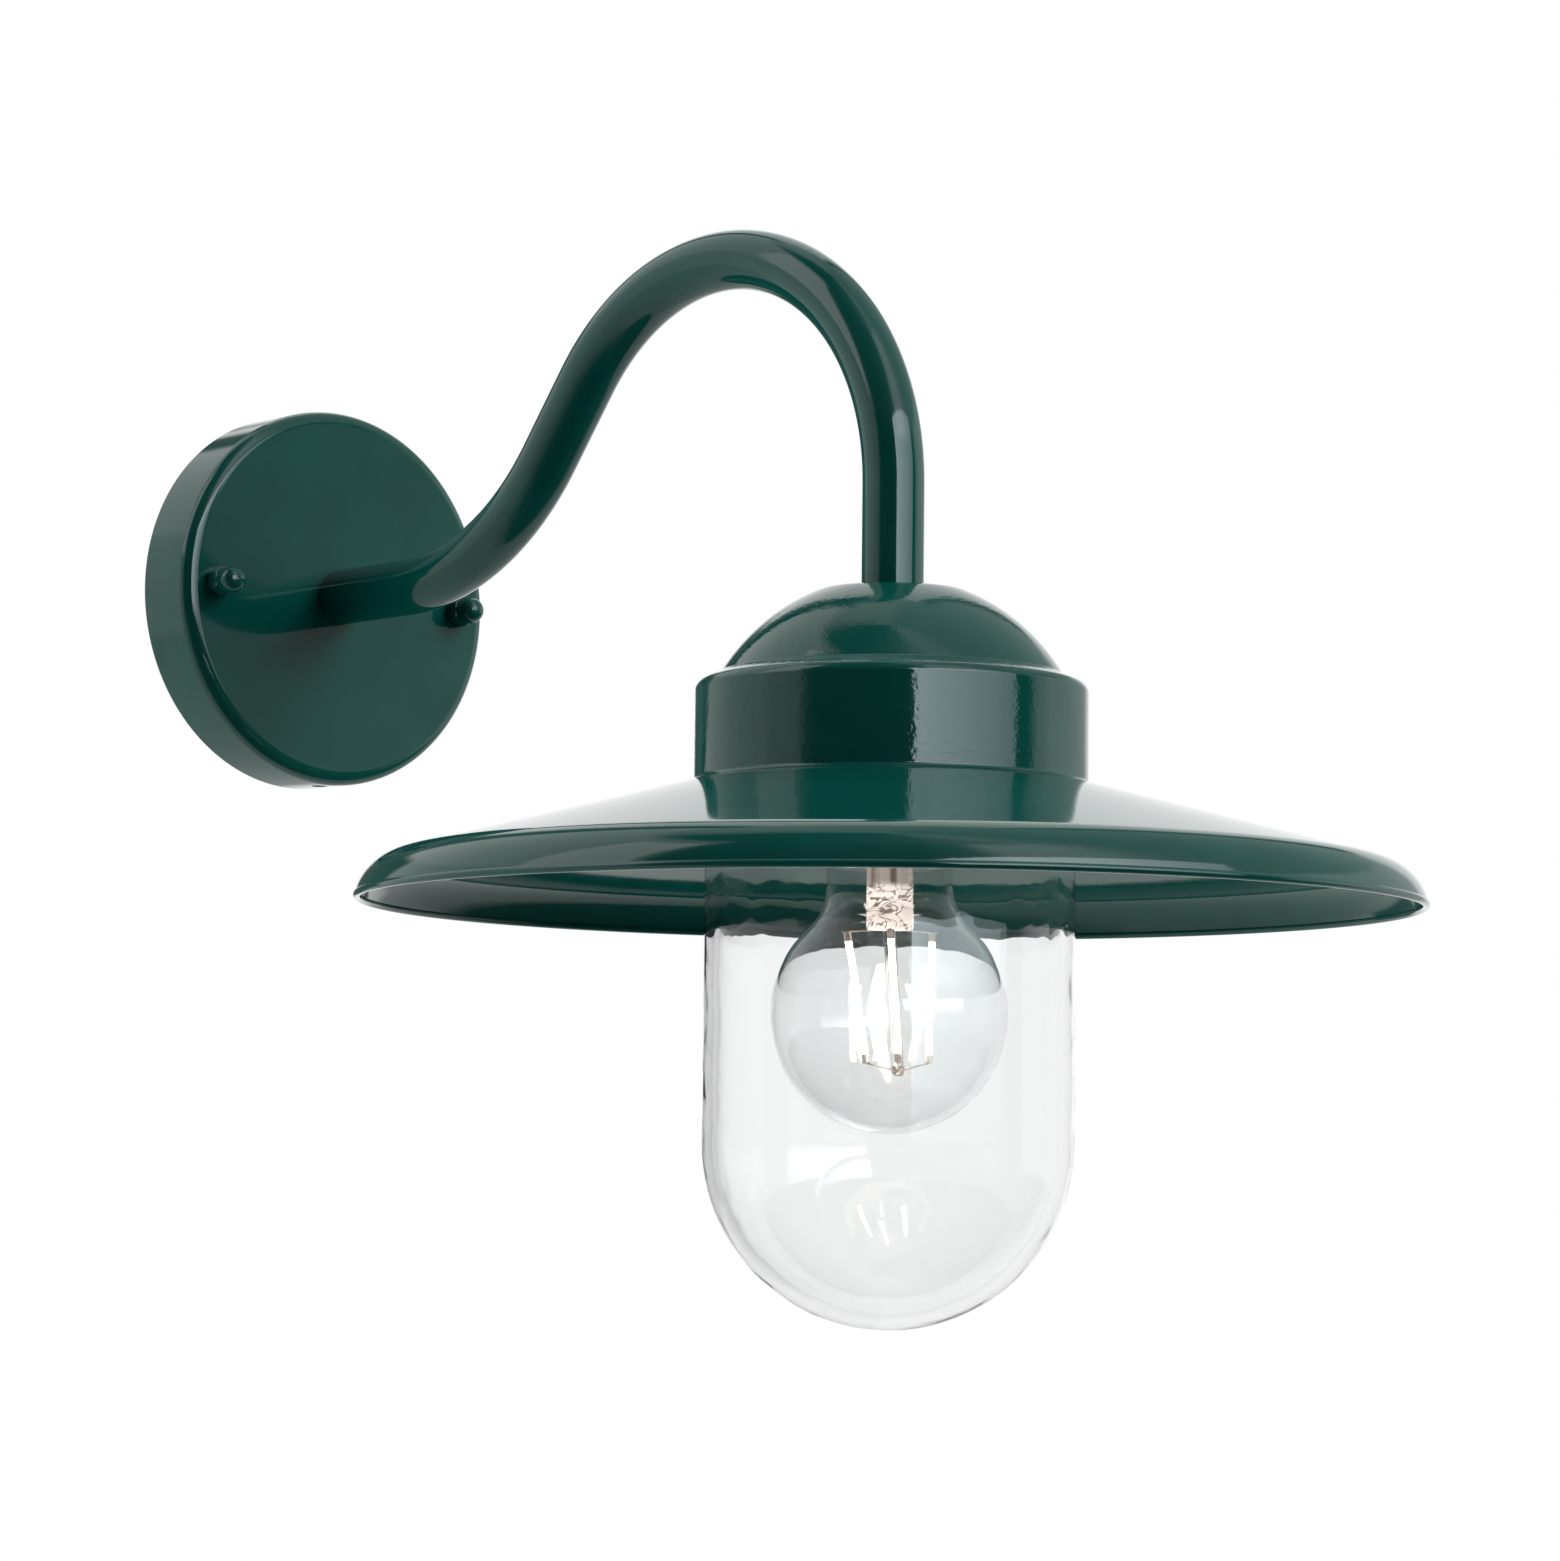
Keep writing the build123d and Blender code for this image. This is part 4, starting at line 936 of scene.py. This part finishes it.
def floor():
    """White floor well below the light, which keeps its shadow, fades out and is clear from below."""
    bm = bmesh.new()
    place = Matrix.Translation((0, lamp_y, floor_z))
    bmesh.ops.create_circle(bm, cap_ends=True, segments=FLOOR_STEPS, radius=floor_r, matrix=place)
    mesh = bpy.data.meshes.new("floor")
    bm.to_mesh(mesh)
    bm.free()
    piece = bpy.data.objects.new("floor", mesh)
    bpy.context.scene.collection.objects.link(piece)
    white = Finish("floor_white", Base_Color=(0.86, 0.86, 0.86, 1), Roughness=0.8)
    spot = white.add("ShaderNodeMapping", Vector=white.place, Location=(0, -lamp_y, -floor_z))
    far = white.add("ShaderNodeVectorMath", {"operation": "LENGTH"}, Vector=spot.outputs["Vector"])
    fade = white.between(far.outputs["Value"], *floor_fade)
    room = white.add("ShaderNodeEmission", Color=(1, 1, 1, 1), Strength=1.0).outputs["Emission"]
    mix = white.add("ShaderNodeMixShader", Fac=fade, at_1=white.shader.outputs["BSDF"], at_2=room)
    below = white.add("ShaderNodeNewGeometry").outputs["Backfacing"]
    clear = white.add("ShaderNodeBsdfTransparent").outputs["BSDF"]
    sides = white.add("ShaderNodeMixShader", Fac=below, at_1=mix.outputs["Shader"], at_2=clear)
    white.output(sides.outputs["Shader"])
    mesh.materials.append(white.material)
    piece.visible_diffuse = False
    piece.visible_glossy = False
    piece.visible_transmission = False
    piece.visible_shadow = False


def room_tones(nodes, around, stops):
    """Brightness of the room by the direction round the light."""
    ramp = nodes.add("ShaderNodeValToRGB", Fac=around)
    marks = ramp.color_ramp.elements
    while len(marks) < len(stops):
        marks.new(0.5)
    for mark, (degrees, tone) in zip(marks, stops):
        mark.position = (degrees + 180) / 360
        mark.color = (tone, tone, tone, 1)
    return ramp.outputs["Color"]


def panel_tone(nodes, angle, height, left, right, low, high, tone):
    """Brightness of a soft-edged panel between two directions and two heights."""
    across = nodes.between(angle, left, left + panel_soft, 0, tone)
    across = nodes.sum("MULTIPLY", across, nodes.between(angle, right - panel_soft, right, 1, 0))
    upright = nodes.between(height, low, low + panel_soft)
    upright = nodes.sum("MULTIPLY", upright, nodes.between(height, high - panel_soft, high, 1, 0))
    return nodes.sum("MULTIPLY", across, upright)


def studio():
    """Room round the light: plain white to look at, and panels and dark corners where it shines."""
    world = bpy.data.worlds.new("studio")
    bpy.context.scene.world = world
    nodes = Nodes(world)
    way = nodes.add("ShaderNodeTexCoord").outputs["Generated"]
    turned = nodes.add("ShaderNodeMapping", Vector=way, Rotation=(0, 0, math.radians(90 - camera_azimuth)))
    axes = nodes.add("ShaderNodeSeparateXYZ", Vector=turned.outputs["Vector"]).outputs
    angle = nodes.sum("DEGREES", nodes.sum("ARCTAN2", axes["Y"], axes["X"]))
    around = nodes.add("ShaderNodeMapRange", Value=angle, From_Min=-180, From_Max=180).outputs["Result"]
    height = nodes.sum("DEGREES", nodes.sum("ARCSINE", axes["Z"]))
    room = room_tones(nodes, around, room_below)
    for stops, edge in ((room_level, below_edge), (room_high, high_edge), (room_top, top_edge)):
        mix = nodes.add("ShaderNodeMix", {"data_type": "FLOAT"}, Factor=nodes.between(height, *edge))
        nodes.tree.links.new(room, mix.inputs["A"])
        nodes.tree.links.new(room_tones(nodes, around, stops), mix.inputs["B"])
        room = mix.outputs["Result"]
    room = nodes.sum("MAXIMUM", room, panel_tone(nodes, angle, height, *left_panel))
    path = nodes.add("ShaderNodeLightPath").outputs
    fade = nodes.between(height, *behind_fade)
    behind = nodes.sum("MULTIPLY", room_tones(nodes, around, room_behind), fade)
    fill = room_tones(nodes, around, room_fill)
    seen, shine, through, white = (
        nodes.add("ShaderNodeBackground", Color=(1, 1, 1, 1), Strength=level).outputs["Background"]
        for level in (fill, room, behind, 1.0)
    )
    for ray, light in (("Is Glossy Ray", shine), ("Is Transmission Ray", through), ("Is Camera Ray", white)):
        seen = nodes.add("ShaderNodeMixShader", Fac=path[ray], at_1=seen, at_2=light).outputs["Shader"]
    nodes.output(seen)


def lamp(name, turn, rise, distance, size, power):
    """Flat lamp that faces the light, so many degrees to the right of the camera and above the horizon."""
    way = polar(1, camera_azimuth - 90 + turn, math.tan(math.radians(rise))).normalized()
    data = bpy.data.lights.new(name, "AREA")
    data.shape = "RECTANGLE"
    data.size, data.size_y = size
    data.energy = power
    panel = bpy.data.objects.new(name, data)
    bpy.context.scene.collection.objects.link(panel)
    panel.location = Vector((0, lamp_y, 0)) + way * distance
    panel.rotation_euler = way.to_track_quat("Z", "Y").to_euler()
    panel.visible_camera = False
    return panel


def shaded(panel, tint, across, upright):
    """Let a lamp's brightness change from left to right, and from the foot up by the steps given."""
    nodes = Nodes(panel.data)
    spot = nodes.add("ShaderNodeNewGeometry").outputs["Parametric"]
    spot = nodes.add("ShaderNodeSeparateXYZ", Vector=spot).outputs
    share = nodes.add("ShaderNodeMapRange", Value=spot["X"], To_Min=across[0], To_Max=across[1])
    share = nodes.sum("MULTIPLY", share.outputs["Result"], nodes.between(spot["Y"], *upright))
    nodes.output(nodes.add("ShaderNodeEmission", Color=tint, Strength=share).outputs["Emission"])
    panel.visible_diffuse = False


def lamps(canopy):
    """Soft box and card that show in the gloss, the card only on the canopy, and a key lamp for the paint."""
    box = lamp("soft_box", box_turn, box_rise, box_distance, box_size, box_power)
    shaded(box, box_tint, box_shares, (0, box_foot))
    card = lamp("card", card_turn, card_rise, card_distance, card_size, card_power)
    shaded(card, (1, 1, 1, 1), card_shares, (0, 1, card_foot_share, card_top_share))
    lit = bpy.data.collections.new("lit_by_card")
    lit.objects.link(canopy)
    card.light_linking.receiver_collection = lit
    key = lamp("key", key_turn, key_rise, key_distance, key_size, key_power)
    key.visible_glossy = False
    key.visible_transmission = False


def photo_camera():
    """Camera where the photograph was taken from."""
    around = math.radians(camera_azimuth)
    above = math.radians(camera_elevation)
    flat = Vector((math.sin(around), -math.cos(around), 0))
    back = flat * math.cos(above) + Vector((0, 0, math.sin(above)))
    right = Vector((math.cos(around), math.sin(around), 0))
    level = Matrix((right, back.cross(right), back)).transposed()
    facing = level @ Matrix.Rotation(math.radians(camera_roll), 3, "Z")
    data = bpy.data.cameras.new("photo_camera")
    data.lens = camera_lens
    data.sensor_width = camera_sensor
    data.clip_start = camera_near
    camera = bpy.data.objects.new("photo_camera", data)
    bpy.context.scene.collection.objects.link(camera)
    camera.matrix_world = Matrix.Translation(camera_place) @ facing.to_4x4()
    bpy.context.scene.camera = camera


dress_frame()
swan_neck_arm()
canopy = wall_canopy()
cap_nuts()
lamp_head()
shade()
glass_jar()
jar_seal()
bulb_glass()
bulb_cap()
bulb_stem()
bulb_filaments()
floor()
studio()
lamps(canopy)
photo_camera()
bpy.context.scene.view_settings.view_transform = "Standard"
